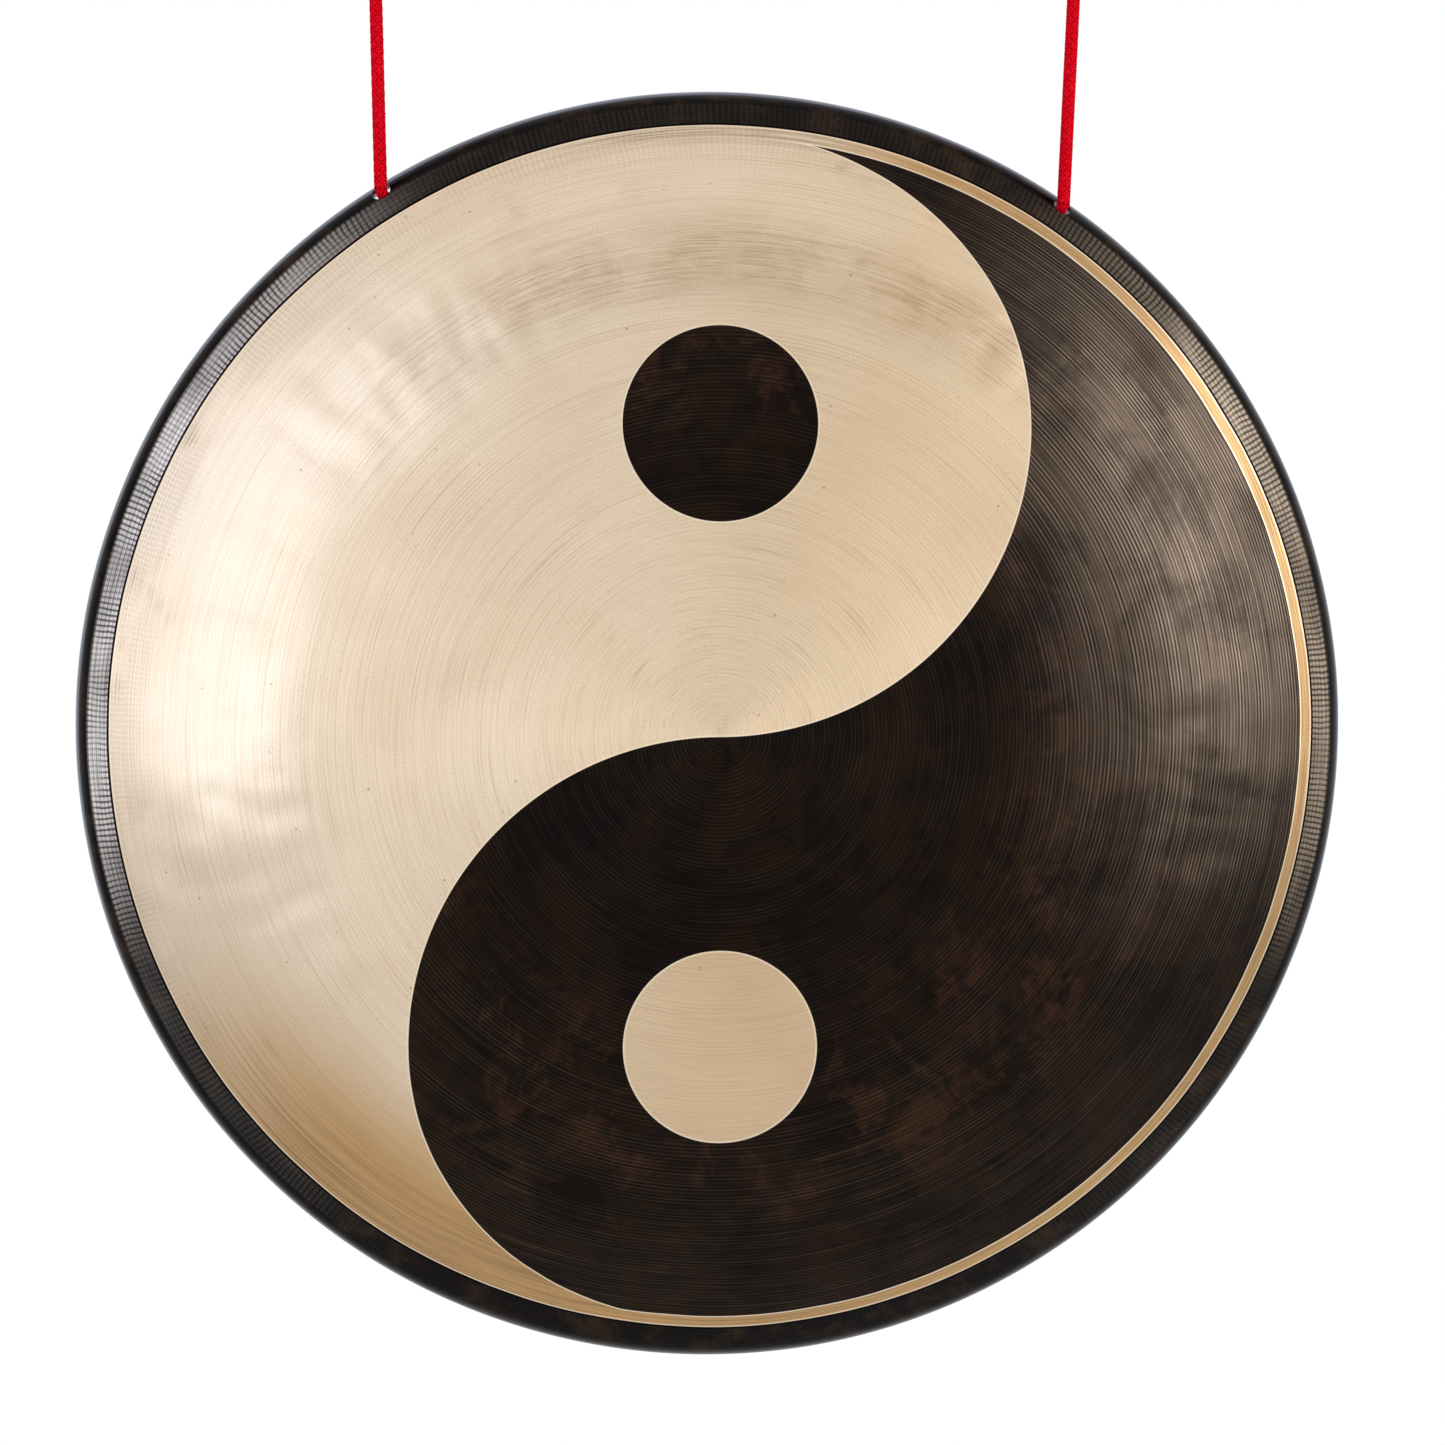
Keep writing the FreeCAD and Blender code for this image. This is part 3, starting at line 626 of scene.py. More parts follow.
def rim_over_skin(shader, place, skin, shoulder, chatter, patch):
    """The skin's colour with the shoulder's ticks and their painted highlight, a painted reflection on the
    rolled edge, and the ring's dark gap.
    """
    mix, spread, times, add = shader.mix, shader.spread, shader.times, shader.add
    reach, ring_x, ring_y = place["reach"], place["ring_x"], place["ring_y"]
    brown = spread(shader.noise(place["flat"], 0.05, 4.0, 0.7), 0.45, 0.7)
    rim_skin = mix(brown, RIM_BLACK, RIM_BROWN)
    past_band = spread(reach, OUTER, OUTER + 0.2)
    skin = mix(past_band, skin, rim_skin)
    lines = streaks(shader, place, 7.0, 2.4, 3.0, 0.7)
    hatch = times(chatter, spread(lines, 0.36, 0.60, 0.55, 1.0))
    # Painted highlight: the ticks are palest and silvery at the left, lighter at both sides, and hardly
    # show at the top and the bottom.
    tick_highlight = times(
        spread(shader.math("ABSOLUTE", ring_x), 0.45, 0.85, 0.05, 1.0),
        spread(ring_y, -0.42, -0.12, 0.10, 1.0),
    )
    tick_tone = mix(spread(ring_x, -0.2, -0.8), TICK_BROWN, TICK_HIGHLIGHT_SILVER)
    skin = mix(times(shoulder, hatch, patch, tick_highlight), skin, tick_tone)
    # Painted reflection: a blue-grey strip on the rolled edge, strongest at the upper left and least at
    # the lower right.
    upper_left = add(times(ring_y, 0.6), times(ring_x, -1.0))
    edge_reflection = times(
        shader.within(reach, (RIM - 0.3, RIM + 0.3), (RIM + 7.0, RIM + 15.0)),
        shader.blend_number(brown, 1.0, 0.6),
        spread(upper_left, -0.35, 0.25),
    )
    skin = mix(edge_reflection, skin, REFLECTED_BLUE_GREY)
    gap = times(past_band, spread(reach, OUTER + 0.9, OUTER + 1.6, 1.0, 0.0))
    return mix(gap, skin, GAP_BLACK)


def face_bronze():
    """The front of the plate: turned metal and fired skin, laid out as the symbol."""
    shader = Shader("bronze_face")
    mix, spread, times, add = shader.mix, shader.spread, shader.times, shader.add
    place = turned_places(shader)
    reach = place["reach"]
    edge = symbol_edges(shader, place)
    dark = spread(edge, -0.12, 0.12, smooth=False)
    grooves = groove_wave(shader, place)
    chatter = chatter_grid(shader, place)
    patch = spread(streaks(shader, place, 3.0, 0.02, 2.0), 0.34, 0.56, 0.55, 1.0)
    shoulder = shader.within(reach, (OUTER + 0.9, OUTER + 1.6), (SHOULDER - 0.9, SHOULDER + 1.1))
    skin, sheen_and_thin = skin_colour(shader, place)
    skin = rim_over_skin(shader, place, skin, shoulder, chatter, patch)

    turned = turned_colour(shader, place)
    near_ring = spread(reach, 256.0, 290.0)
    edge_ticks = times(near_ring, chatter, spread(patch, 0.6, 1.0))
    turned = mix(times(edge_ticks, 0.22), turned, EDGE_BROWN)
    ring_tone = spread(streaks(shader, place, 6.0, 1.4, 3.0, 0.75), 0.36, 0.66)
    ring_gold = mix(ring_tone, RING_GOLD, RING_BROWN)
    past_inner = spread(reach, INNER + 0.2, INNER + 0.5)
    in_ring = times(past_inner, spread(place["ring_x"], 0.10, 0.35))
    turned = mix(in_ring, turned, ring_gold)
    lip = spread(reach, OUTER - 0.7, OUTER - 0.2)
    turned = mix(times(lip, 0.8), turned, LIP_RED)
    scraped = shader.within(edge, (-1.0, -0.5), (0.05, 0.45))
    turned = mix(times(scraped, 0.8), turned, SCRAPED_CREAM)

    # The skin is worn off the grooves' ridges and thickest in their valleys. The pale ridges also carry a
    # painted sheen, strongest where the skin's painted sheen is.
    inside = spread(reach, INNER - 0.5, INNER, 1.0, 0.0)
    uneven = spread(streaks(shader, place, 2.0, 0.3, 2.0), 0.35, 0.65, 0.1, 1.0)
    ridge = times(spread(grooves, 0.2, 1.0), uneven, inside)
    wear_and_sheen = add(times(sheen_and_thin, 0.85), 0.04)
    skin = mix(times(ridge, wear_and_sheen), skin, RIDGE_BROWN)
    valley = times(spread(grooves, -0.2, -1.0), uneven, inside)
    skin = mix(times(valley, 0.88), skin, VALLEY_BLACK)
    turned = mix(times(valley, 0.12), turned, VALLEY_BROWN)

    # The rolled edge is smoother than the rest of the skin, which stands proud of the turned metal.
    polished = spread(reach, SHOULDER - 1.0, SHOULDER + 2.5)
    roughness = shader.blend_number(dark, 0.36, shader.blend_number(polished, 0.40, 0.19))
    uneven_gloss = times(add(streaks(shader, place, 6.0, 1.2), -0.5), 0.16)
    depth = shader.blend_number(polished, 1.0, 0.12)
    height = add(
        times(groove_height(shader, place, grooves), depth),
        times(shoulder, chatter, 1.6),
        times(dark, 1.2),
    )
    tangent = shader.node("ShaderNodeTangent", direction_type="UV_MAP", uv_map="turned")
    return shader.finish(
        Base_Color=mix(dark, turned, skin),
        Metallic=1.0,
        Roughness=add(roughness, uneven_gloss),
        Anisotropic=0.5,
        Anisotropic_Rotation=0.25,
        Normal=shader.bump(height, 0.035 * MM),
        Tangent=tangent.outputs[0],
    )


def back_bronze():
    """The back of the plate: the fired skin, hammered and hardly turned."""
    shader = Shader("bronze_back")
    place = turned_places(shader)
    colour, _ = skin_colour(shader, place)
    cloud = shader.noise(place["flat"], 0.03, 5.0, 0.65)
    colour = shader.mix(shader.spread(cloud, 0.42, 0.66, 0.0, 0.7), colour, BACK_BROWN)
    circles = streaks(shader, place, 2.0, 0.35, 3.0, 0.6)
    colour = shader.mix(shader.spread(circles, 0.55, 0.75, 0.0, 0.35), colour, BACK_CIRCLES)
    roughness = shader.spread(cloud, 0.3, 0.7, 0.34, 0.48)
    grain = shader.noise(place["flat"], 0.7, 3.0, 0.6)
    normal = shader.bump(shader.add(grain, shader.times(circles, 1.5)), 0.05 * MM)
    return shader.finish(Base_Color=colour, Metallic=1.0, Roughness=roughness, Normal=normal)


# ---------------------------------------------------------------- the gong's plate

AROUND = 512
ARC = 2 * math.pi / AROUND
FRONT_STEPS = ((52, 16, 13, 14), 4, 6)
BACK_STEPS = ((30, 10, 8, 8), 3, 4)
WAVES = 26
WAVE_HEIGHT = 0.085 * MM
ROUND_MARKS = 1500
CREASE_MARKS = 330
# The places on the crease with most marks: middle and width in degrees, and how many marks.
MARK_CLUSTERS = ((125, 17, 130), (-8, 8, 50))


def make_marks(rng):
    """Hammer marks as (reach, turn, radius, how far stretched outwards, depth in mm)."""
    marks = []
    for _ in range(ROUND_MARKS):
        place = math.sqrt(rng.uniform(0, 1)) * 0.295
        turn = rng.uniform(0, 2 * math.pi)
        radius = rng.uniform(6, 12) * MM
        deepest = 0.08 if place < FACE_RADIUS else 0.22
        marks.append((place, turn, radius, 1.0, deepest * rng.uniform(0.3, 1.0)))
    # Long radial marks lie across the crease, where the plate was drawn in.
    for _ in range(CREASE_MARKS):
        place = rng.normal(0.222, 0.016)
        turn = rng.uniform(0, 2 * math.pi)
        radius = rng.uniform(4.5, 8) * MM
        marks.append((place, turn, radius, 2.6, 0.26 * rng.uniform(0.1, 1.0) ** 2))
    for middle, width, count in MARK_CLUSTERS:
        for _ in range(count):
            turn = math.radians(rng.normal(middle, width))
            place = rng.normal(0.226, 0.014)
            radius = rng.uniform(3.5, 6) * MM
            marks.append((place, turn, radius, 3.2, 0.24 * rng.uniform(0.1, 1.0)))
    return marks


def hammered_height(angle, reach):
    """How far the plate stands out of its ideal shape, in metres, at each point."""
    rng = np.random.default_rng(SEED)
    x, y = reach * np.cos(angle), reach * np.sin(angle)
    height = np.zeros_like(x)
    for _ in range(WAVES):
        direction = rng.uniform(0, 2 * math.pi)
        length = rng.uniform(0.07, 0.19)
        phase = rng.uniform(0, 2 * math.pi)
        wave = (x * math.cos(direction) + y * math.sin(direction)) * 2 * math.pi / length
        height += WAVE_HEIGHT * (length / 0.12) * np.sin(wave + phase)
    for place, turn, radius, stretch, depth in make_marks(rng):
        cos_turn, sin_turn = math.cos(turn), math.sin(turn)
        near = np.abs(reach - place) < 3 * radius * stretch
        out = x[near] * cos_turn + y[near] * sin_turn - place
        side = y[near] * cos_turn - x[near] * sin_turn
        fall = np.exp(-((out / (radius * stretch)) ** 2 + (side / radius) ** 2))
        height[near] -= depth * MM * fall
    fade = np.clip((SHOULDER_END - reach) / (25 * MM), 0, 1)
    return height * (0.25 + 0.75 * fade)


def plate_side(steps, inner):
    """Points of one side of the plate in the gong's frame, ring by ring, and each ring's s."""
    rows = sample_section(*steps)[1:]
    s, radius, depth, slope = np.repeat(rows, AROUND, axis=0).T
    turn = np.tile(np.arange(AROUND) * ARC, len(rows))
    out = hammered_height(turn, s) - (THICKNESS if inner else 0)
    radius = radius + out * np.sin(slope)
    depth = depth - out * np.cos(slope)
    points = np.stack([radius * np.cos(turn), depth, radius * np.sin(turn)], axis=1)
    return points, rows[:, 0]


def join_rings(low, high, around):
    """Quads between closed rings of points, given each lower and upper ring's first point."""
    column = np.arange(around)
    following = (column + 1) % around
    low, high = np.reshape(low, (-1, 1)), np.reshape(high, (-1, 1))
    corners = [low + column, low + following, high + following, high + column]
    return np.stack(corners, axis=2).reshape(-1, 4)


def make_gong():
    """The plate as one closed shell, with its hammer marks and cord holes."""
    column = np.arange(AROUND)
    quad_turns = np.stack([column, column + 1, column + 1, column], axis=1) * ARC
    fan_turns = np.stack([column + 0.5, column + 1, column], axis=1) * ARC
    vertices = []
    quads = []
    fans = []
    edges = []
    start = 0
    for inner, steps in ((False, FRONT_STEPS), (True, BACK_STEPS)):
        points, s = plate_side(steps, inner)
        vertices += [points, [[0, THICKNESS if inner else 0, 0]]]
        pole = start + len(points)
        firsts = np.arange(start, pole, AROUND)
        corners = join_rings(firsts[:-1], firsts[1:], AROUND)
        reach = np.repeat(np.stack([s[:-1], s[:-1], s[1:], s[1:]], axis=1), AROUND, axis=0)
        turn = np.tile(quad_turns, (len(s) - 1, 1))
        fan = np.stack([np.full(AROUND, pole), start + (column + 1) % AROUND, start + column], axis=1)
        fan_reach = np.tile([1e-5, s[0], s[0]], (AROUND, 1))
        # The front's faces are wound the other way round.
        way = 1 if inner else -1
        quads.append((int(inner), corners[:, ::way], reach[:, ::way], turn[:, ::way]))
        fans.append((int(inner), fan[:, ::way], fan_reach[:, ::way], fan_turns[:, ::way]))
        edges.append(pole - AROUND)
        start = pole + 1
    lip_reach = np.full((AROUND, 4), BAND_OUTER + 50 * MM)
    quads.append((1, join_rings(*edges, AROUND), lip_reach, quad_turns))

    mesh = bpy.data.meshes.new("gong_plate")
    faces = []
    slots = []
    for slot, corners, _, _ in quads + fans:
        faces += corners.tolist()
        slots += [slot] * len(corners)
    mesh.from_pydata(np.concatenate(vertices).tolist(), [], faces)
    reach = np.concatenate([part[2].ravel() for part in quads + fans])
    turn = np.concatenate([part[3].ravel() for part in quads + fans])
    flat = np.stack([reach * np.cos(turn), reach * np.sin(turn)], axis=1)
    mesh.uv_layers.new(name="flat").data.foreach_set("uv", flat.ravel())
    mesh.uv_layers.new(name="turned").data.foreach_set("uv", np.stack([turn, reach], axis=1).ravel())
    mesh.polygons.foreach_set("material_index", slots)
    mesh.polygons.foreach_set("use_smooth", [True] * len(faces))
    mesh.materials.append(face_bronze())
    mesh.materials.append(back_bronze())
    mesh.transform(GONG)
    mesh.update()
    gong = add_object("gong_plate", mesh)
    drill_holes(gong)
    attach(gong, "gong")
    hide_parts("gong_body")


def drill_holes(gong):
    """Cuts the two cord holes through the rolled corner."""
    drill = bpy.data.meshes.new("drill")
    cutter = bmesh.new()
    sizes = {"radius1": HOLE_RADIUS, "radius2": HOLE_RADIUS, "depth": 20 * MM}
    for side in (-1, 1):
        centre, outward = hole_in_gong(side)
        turn = (GONG.to_3x3() @ outward).to_track_quat("Z", "Y").to_matrix().to_4x4()
        place = Matrix.Translation(GONG @ centre) @ turn
        bmesh.ops.create_cone(cutter, cap_ends=True, segments=40, matrix=place, **sizes)
    for face in cutter.faces:
        face.material_index = 1
    cutter.to_mesh(drill)
    cutter.free()
    for material in gong.data.materials:
        drill.materials.append(material)
    tool = add_object("drill", drill)
    cut = gong.modifiers.new("holes", "BOOLEAN")
    cut.operation = "DIFFERENCE"
    cut.solver = "EXACT"
    cut.object = tool
    bpy.context.view_layer.update()
    depsgraph = bpy.context.evaluated_depsgraph_get()
    drilled = bpy.data.meshes.new_from_object(gong.evaluated_get(depsgraph))
    gong.modifiers.clear()
    old = gong.data
    gong.data = drilled
    drilled.name = "gong_plate"
    drilled.set_sharp_from_angle(angle=math.radians(40))
    bpy.data.meshes.remove(old)
    bpy.data.objects.remove(tool)


# ---------------------------------------------------------------- cord

CORD = 6.3 * MM
YARNS = 8
BRAID_PITCH = 20 * MM
BRAID_STEP = 0.7 * MM
YARN_MIDDLE = 2.60 * MM
YARN_WEAVE = 0.20 * MM
YARN_WIDE = 0.90 * MM
YARN_THICK = 0.40 * MM
YARN_CORNERS = (-20, 20, 55, 90, 125, 160, 200)
CORE_RADIUS = 2.2 * MM
HOLE_DROP = 195 * MM
HOOK_SPACING = 334 * MM
COLLAR_HEIGHT = 3 * MM
NECK_BEND = 5 * MM
HOOK_BEND = 10 * MM
WIRE = 3 * MM
HOOK_DROP = math.sqrt(HOOK_BEND ** 2 + 2 * HOOK_BEND * NECK_BEND)
WIRE_HEIGHT = -COLLAR_HEIGHT - HOOK_DROP - HOOK_BEND
LOOP_HALF_WIDTH = 7.16 * MM
KNOT_TOP = 50 * MM
KNOT_HEIGHT = 21 * MM


def on_strand(side, depth, height):
    """A point in the plane of one strand, which leans out from its hole to its hook."""
    hole, _ = hole_in_gong(1)
    lean = (HOOK_SPACING / 2 - hole.x) / (WIRE_HEIGHT + HOLE_DROP)
    return Vector((side * (hole.x + (height + HOLE_DROP) * lean), depth, height))


def strand_points(side):
    """The strand's route as in the CAD, with one point more on its long straight run."""
    route = [
        (0, -HOLE_DROP + 1 * MM),
        (0, -91 * MM),
        (0, -53 * MM),
        (LOOP_HALF_WIDTH, -38 * MM),
        (LOOP_HALF_WIDTH, WIRE_HEIGHT + 3.3 * MM),
        (0, WIRE_HEIGHT + 7.4 * MM),
        (-LOOP_HALF_WIDTH, WIRE_HEIGHT + 3.3 * MM),
        (-7.6 * MM, -37 * MM),
        (-6.4 * MM, -KNOT_TOP),
    ]
    return [on_strand(side, depth, height) for depth, height in route]


def crossing_points():
    """The crossing's route as in the CAD, with one point more near each end of its long run."""
    ends = []
    for side in (-1, 1):
        centre, outward = hole_in_gong(side)
        start = centre - outward * 3.5 * MM
        ends.append((start, start - outward * 12 * MM))
    (left_end, left_turn), (right_end, right_turn) = ends
    extra = (right_turn - left_turn).normalized() * 38 * MM
    route = [left_end, left_turn, left_turn + extra, right_turn - extra, right_turn, right_end]
    return [GONG @ point for point in route]


def knot_points(side):
    """Three turns round the strand below the loop, and the short tail under them."""
    turns, per_turn = 3, 12
    low = -KNOT_TOP - KNOT_HEIGHT
    first, last = -KNOT_TOP - CORD * 0.5, low + CORD * 0.5
    route = [(-6.4 * MM, 0, -KNOT_TOP)]
    radius = 6.15 * MM
    for index in range(turns * per_turn + 1):
        share = index / (turns * per_turn)
        turn = share * turns * 2 * math.pi
        height = first + (last - first) * share
        route.append((-radius * math.cos(turn), side * radius * math.sin(turn), height))
    route += [(-6.3 * MM, 0, low - 1 * MM), (-6.7 * MM, 0, low - 8 * MM), (-8.2 * MM, 0, low - 17 * MM)]
    points = []
    for depth, across, height in route:
        points.append(on_strand(side, depth, height) + Vector((across, 0, 0)))
    return points


def bend_points(side):
    """Where the cord turns from the strand into the hole."""
    crossing = crossing_points()
    start, inner = (crossing[0], crossing[1]) if side < 0 else (crossing[-1], crossing[-2])
    inside_strand = on_strand(side, 0, -HOLE_DROP + 3 * MM)
    turn = on_strand(side, 0.3 * MM, -HOLE_DROP - 0.2 * MM)
    return [inside_strand, turn, start, start + (inner - start) * 0.2]


def smooth_line(points, per_run=24):
    """Points along the NURBS curve whose control points are given."""
    data = bpy.data.curves.new("route", "CURVE")
    data.dimensions = "3D"
    spline = data.splines.new("NURBS")
    spline.points.add(len(points) - 1)
    for point, place in zip(spline.points, points):
        point.co = (*place, 1)
    spline.order_u = 3
    spline.use_endpoint_u = True
    spline.resolution_u = per_run
    carrier = bpy.data.objects.new("route", data)
    mesh = bpy.data.meshes.new_from_object(carrier)
    line = np.array([vertex.co[:] for vertex in mesh.vertices])
    bpy.data.meshes.remove(mesh)
    bpy.data.objects.remove(carrier)
    bpy.data.curves.remove(data)
    return line


def even_line(line, step):
    """The same line with points evenly spaced, and its length."""
    gaps = np.linalg.norm(np.diff(line, axis=0), axis=1)
    line = line[np.concatenate([[True], gaps > 1e-9])]
    travelled = np.concatenate([[0], np.cumsum(np.linalg.norm(np.diff(line, axis=0), axis=1))])
    length = travelled[-1]
    places = np.linspace(0, length, max(2, int(round(length / step)) + 1))
    even = [np.interp(places, travelled, line[:, axis]) for axis in range(3)]
    return np.stack(even, axis=1), length


def turn_frames(line):
    """Unit directions along a line and two across it that don't twist."""
    along = np.gradient(line, axis=0)
    along /= np.linalg.norm(along, axis=1)[:, None]
    side = np.cross(along[0], (0.3, 0.9, 0.1))
    side /= np.linalg.norm(side)
    tick_highlight = [side]
    for direction in along[1:]:
        side = side - direction * side.dot(direction)
        side = side / np.linalg.norm(side)
        tick_highlight.append(side)
    tick_highlight = np.array(tick_highlight)
    return along, tick_highlight, np.cross(along, tick_highlight)


def closed_tube(rings, uv=None):
    """A (vertices, faces, uv) part: a tube through rings of points, closed at both ends."""
    count, around, _ = rings.shape
    firsts = np.arange(count) * around
    faces = join_rings(firsts[:-1], firsts[1:], around).tolist()
    faces.append(list(range(around))[::-1])
    faces.append(list(range((count - 1) * around, count * around)))
    vertices = rings.reshape(-1, 3)
    return vertices, faces, np.zeros((len(vertices), 2)) if uv is None else uv


def ovals(first, second, corners, wide=1.0, thick=1.0):
    """Rings of points about the origin, laid out along pairs of directions."""
    first_way = first[:, None, :] * (wide * np.cos(corners))[None, :, None]
    return first_way + second[:, None, :] * (thick * np.sin(corners))[None, :, None]


def join_meshes(name, parts, material):
    """One mesh object from several (vertices, faces, uv) parts."""
    faces = []
    start = 0
    for vertices, part_faces, _ in parts:
        faces += [[index + start for index in face] for face in part_faces]
        start += len(vertices)
    points = np.concatenate([part[0] for part in parts])
    uv = np.concatenate([part[2] for part in parts])
    mesh = bpy.data.meshes.new(name)
    mesh.from_pydata(points.tolist(), [], faces)
    layer = mesh.uv_layers.new(name="yarn")
    corners = np.zeros(len(mesh.loops), dtype=np.int32)
    mesh.loops.foreach_get("vertex_index", corners)
    layer.data.foreach_set("uv", uv[corners].ravel())
    mesh.polygons.foreach_set("use_smooth", [True] * len(mesh.polygons))
    mesh.materials.append(material)
    mesh.update()
    return add_object(name, mesh)


def braid(name, line, material, sizes=(1.0, 1.0)):
    """A round braid: yarns wound both ways over and under each other, round a plain core.

    sizes is how big it is at its start and its end. Returns the piece and its line.
    """
    line, length = even_line(line, BRAID_STEP)
    along, side, across = turn_frames(line)
    places = np.linspace(0, length, len(line))
    size = np.linspace(*sizes, len(line))
    corners = np.radians(YARN_CORNERS)
    spin = 2 * math.pi / BRAID_PITCH
    parts = []
    for way in (-1, 1):
        for yarn in range(YARNS):
            angle = way * spin * places + 2 * math.pi * (yarn + 0.25 * (way + 1)) / YARNS
            over = way * YARN_WEAVE * np.cos(YARNS * spin * places + math.pi * yarn)
            out = side * np.cos(angle)[:, None] + across * np.sin(angle)[:, None]
            round_way = across * np.cos(angle)[:, None] - side * np.sin(angle)[:, None]
            run = along + round_way * (way * spin * YARN_MIDDLE)
            run /= np.linalg.norm(run, axis=1)[:, None]
            centre = line + out * ((YARN_MIDDLE + over) * size)[:, None]
            rings = ovals(np.cross(run, out), out, corners, YARN_WIDE, YARN_THICK)
            yarn_across = np.tile(corners / (2 * math.pi), len(line))
            yarn_along = np.repeat(places / CORD + 7.3 * yarn + 3.1 * way, len(corners))
            uv = np.stack([yarn_across, yarn_along], axis=1)
            parts.append(closed_tube(centre[:, None, :] + rings, uv))
    core = ovals(side, across, np.arange(10) / 10 * 2 * math.pi)
    parts.append(closed_tube(line[:, None, :] + core * (CORE_RADIUS * size)[:, None, None]))
    return join_meshes(name, parts, material), line


def cord_fabric():
    """Red polyester yarn: twisted fibres, with painted shade where one yarn goes under another."""
    shader = Shader("red_cord")
    across, along = shader.uv("yarn")
    vector = shader.combine(shader.times(across, 9.0), shader.times(along, 16.0))
    fibres = shader.noise(vector, 1.0, 3.0, 0.7)
    slow = shader.noise(shader.combine(0.0, along), 0.6, 1.0)
    colour = shader.mix(shader.spread(fibres, 0.3, 0.7), (0.46, 0.0002, 0.005, 1), (0.80, 0.001, 0.013, 1))
    colour = shader.mix(shader.spread(slow, 0.4, 0.7, 0.0, 0.3), colour, (0.95, 0.012, 0.02, 1))
    # Painted shade: darker at the yarns' edges, in the gaps between them.
    under = shader.spread(shader.math("ABSOLUTE", shader.add(across, -0.25)), 0.06, 0.20)
    colour = shader.mix(shader.times(under, 0.92), colour, (0.07, 0.0, 0.001, 1))
    return shader.finish(
        Base_Color=colour, Roughness=0.85, Normal=shader.bump(fibres, 0.12 * MM), Specular_IOR_Level=0.03
    )


def seal_plastic():
    """The melted end of the cord."""
    shader = Shader("sealed_end")
    where = shader.node("ShaderNodeTexCoord").outputs["Object"]
    lumps = shader.noise(where, 900.0, 3.0, 0.6)
    colour = shader.mix(lumps, (0.16, 0.002, 0.006, 1), (0.34, 0.004, 0.012, 1))
    return shader.finish(Base_Color=colour, Roughness=0.3, Normal=shader.bump(lumps, 0.25 * MM))


def make_seal(side, word, material):
    """A melted, slightly lumpy end on a tail, made by closing a tube over its tip."""
    points = knot_points(side)
    end = points[-1]
    direction = (end - points[-2]).normalized()
    shares = np.linspace(0, 1, 14)
    line = np.array([end + direction * 6 * MM * share for share in shares])
    _, side_way, across = turn_frames(line)
    corners = np.arange(24) / 24 * 2 * math.pi
    rings = ovals(side_way, across, corners)
    rounding = 0.45
    for ring, share in zip(rings, shares):
        past = max(0.0, (share - (1 - rounding)) / rounding)
        size = CORD / 2 * math.sqrt(max(0.02, 1 - past ** 2)) * 0.985
        lump = 1 - 0.03 * (1 + np.sin(3 * corners + 5 * share))
        ring *= (lump * size)[:, None]
    parts = [closed_tube(line[:, None, :] + rings)]
    return join_meshes(f"tail_seal_{word}", parts, material)


def make_cords():
    """Both strands with their loops, the crossing, the knots and the tails."""
    fabric = cord_fabric()
    melted = seal_plastic()
    for side, word in ((-1, "left"), (1, "right")):
        strand, path = braid(f"strand_{word}", smooth_line(strand_points(side)), fabric)
        knot, _ = braid(f"knot_turns_{word}", smooth_line(knot_points(side), 8), fabric)
        seal = make_seal(side, word, melted)
        bend, _ = braid(f"cord_bend_{word}", smooth_line(bend_points(side)), fabric, (0.93, 0.86))
        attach(bend, "gong")
        for piece in (strand, knot, seal):
            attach(piece, "cord")
        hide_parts(f"cord_{word}")
        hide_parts(f"knot_{word}", f"tail_{word}")
        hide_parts(f"tail_tip_{word}")
    crossing, path = braid("cord_behind", smooth_line(crossing_points()), fabric)
    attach(crossing, "gong")
    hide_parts("cord_crossing")


# ---------------------------------------------------------------- hooks


HOOK_CORNERS = np.arange(32) / 32 * 2 * math.pi


def hook_steel():
    """Zinc-plated wire: bright, with faint draw lines and dull grey patches."""
    shader = Shader("hook_zinc")
    where = shader.node("ShaderNodeTexCoord").outputs["Object"]
    patches = shader.noise(where, 160.0, 3.0, 0.6)
    grain = shader.noise(where, 1400.0, 2.0, 0.7)
    colour = shader.mix(shader.spread(patches, 0.35, 0.7), (0.62, 0.62, 0.63, 1), (0.44, 0.44, 0.43, 1))
    roughness = shader.spread(patches, 0.3, 0.7, 0.24, 0.42)
    return shader.finish(
        Base_Color=colour, Metallic=1.0, Roughness=roughness, Normal=shader.bump(grain, 0.02 * MM)
    )


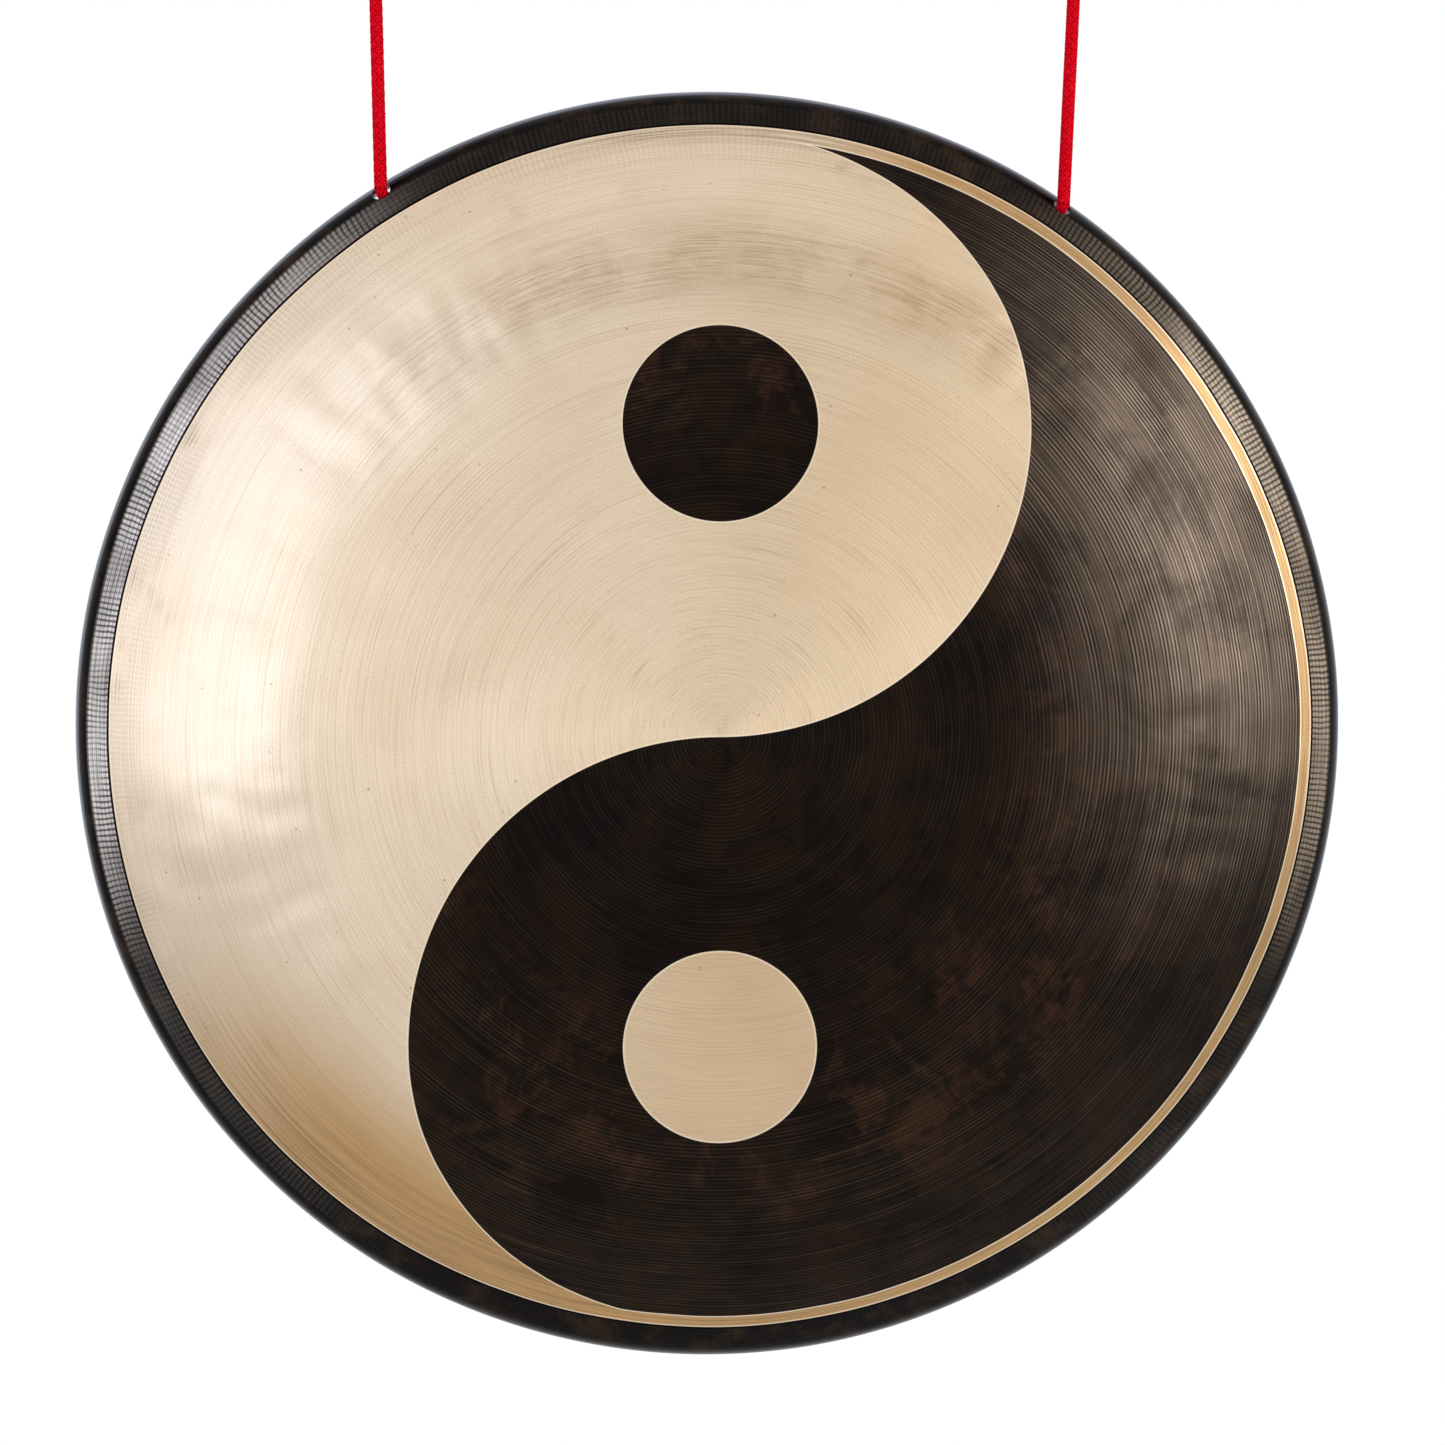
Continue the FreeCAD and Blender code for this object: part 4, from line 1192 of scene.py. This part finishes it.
def hook_wire():
    """The wire, bent into a neck and a round, with a rounded tip."""
    line = []
    join = math.atan2(HOOK_DROP, -NECK_BEND)
    for turn in np.linspace(0, join - math.pi, 14):
        height = -COLLAR_HEIGHT + NECK_BEND * math.sin(turn)
        line.append((-NECK_BEND + NECK_BEND * math.cos(turn), 0, height))
    mouth = math.radians(25)
    for turn in np.linspace(join, 2 * math.pi + mouth, 72)[1:]:
        height = -COLLAR_HEIGHT - HOOK_DROP + HOOK_BEND * math.sin(turn)
        line.append((HOOK_BEND * math.cos(turn), 0, height))
    line = np.array(line)
    sizes = np.full(len(line), WIRE)
    tip = 5
    for index in range(tip):
        sizes[len(line) - tip + index] = WIRE * math.sqrt(1 - ((index + 1) / (tip + 0.6)) ** 2)
    along, _, _ = turn_frames(line)
    flat = np.tile((0.0, 1.0, 0.0), (len(line), 1))
    rings = ovals(flat, np.cross(along, flat), HOOK_CORNERS)
    return closed_tube(line[:, None, :] + rings * sizes[:, None, None])


def hook_collar():
    """The round collar that stops the stud, with bevelled edges."""
    bevel = 0.5 * MM
    collar = 7 * MM
    outline = (
        (WIRE * 0.9, -COLLAR_HEIGHT), (collar - bevel, -COLLAR_HEIGHT), (collar, -COLLAR_HEIGHT + bevel),
        (collar, -bevel), (collar - bevel, 0), (WIRE * 0.9, 0),
    )
    turns = np.arange(48) / 48 * 2 * math.pi
    rings = []
    for radius, height in outline:
        rings.append([(radius * math.cos(turn), radius * math.sin(turn), height) for turn in turns])
    vertices, faces, uv = closed_tube(np.array(rings))
    return vertices, [face[::-1] for face in faces], uv


def hook_stud():
    """The stud with its thread cut in, and a chamfered end."""
    stud, pitch, thread, lead_in = 20 * MM, 1.0 * MM, 0.55 * MM, 1.5 * MM
    turns = HOOK_CORNERS / (2 * math.pi)
    rings = []
    for level in np.linspace(-0.2 * MM, stud, 162):
        phase = (level / pitch - turns) % 1.0
        cut = thread * np.clip(np.abs(phase * 2 - 1) * 1.25 - 0.05, 0, 1)
        point = max(0.0, level - (stud - 1 * MM))
        lead = min(1.0, max(0.0, (level - lead_in) / lead_in))
        radius = np.minimum(WIRE - cut * lead, WIRE - point)
        ring = [radius * np.cos(HOOK_CORNERS), radius * np.sin(HOOK_CORNERS), np.full_like(radius, level)]
        rings.append(np.stack(ring, axis=1))
    return closed_tube(np.array(rings))


def make_hooks():
    """Two screw hooks, each a threaded stud, a collar and a bent wire."""
    zinc = hook_steel()
    for side, word, turn in ((-1, "left", math.pi), (1, "right", 0)):
        hook = join_meshes(f"screw_hook_{word}", [hook_wire(), hook_collar(), hook_stud()], zinc)
        place = Matrix.Translation((side * HOOK_SPACING / 2, 0, 0))
        hook.data.transform(place @ Matrix.Rotation(turn, 4, "Z"))
        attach(hook, "hooks")
        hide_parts(f"hook_{word}")


# ---------------------------------------------------------------- assembly

make_camera()
make_studio()
make_cords()
make_gong()
make_hooks()
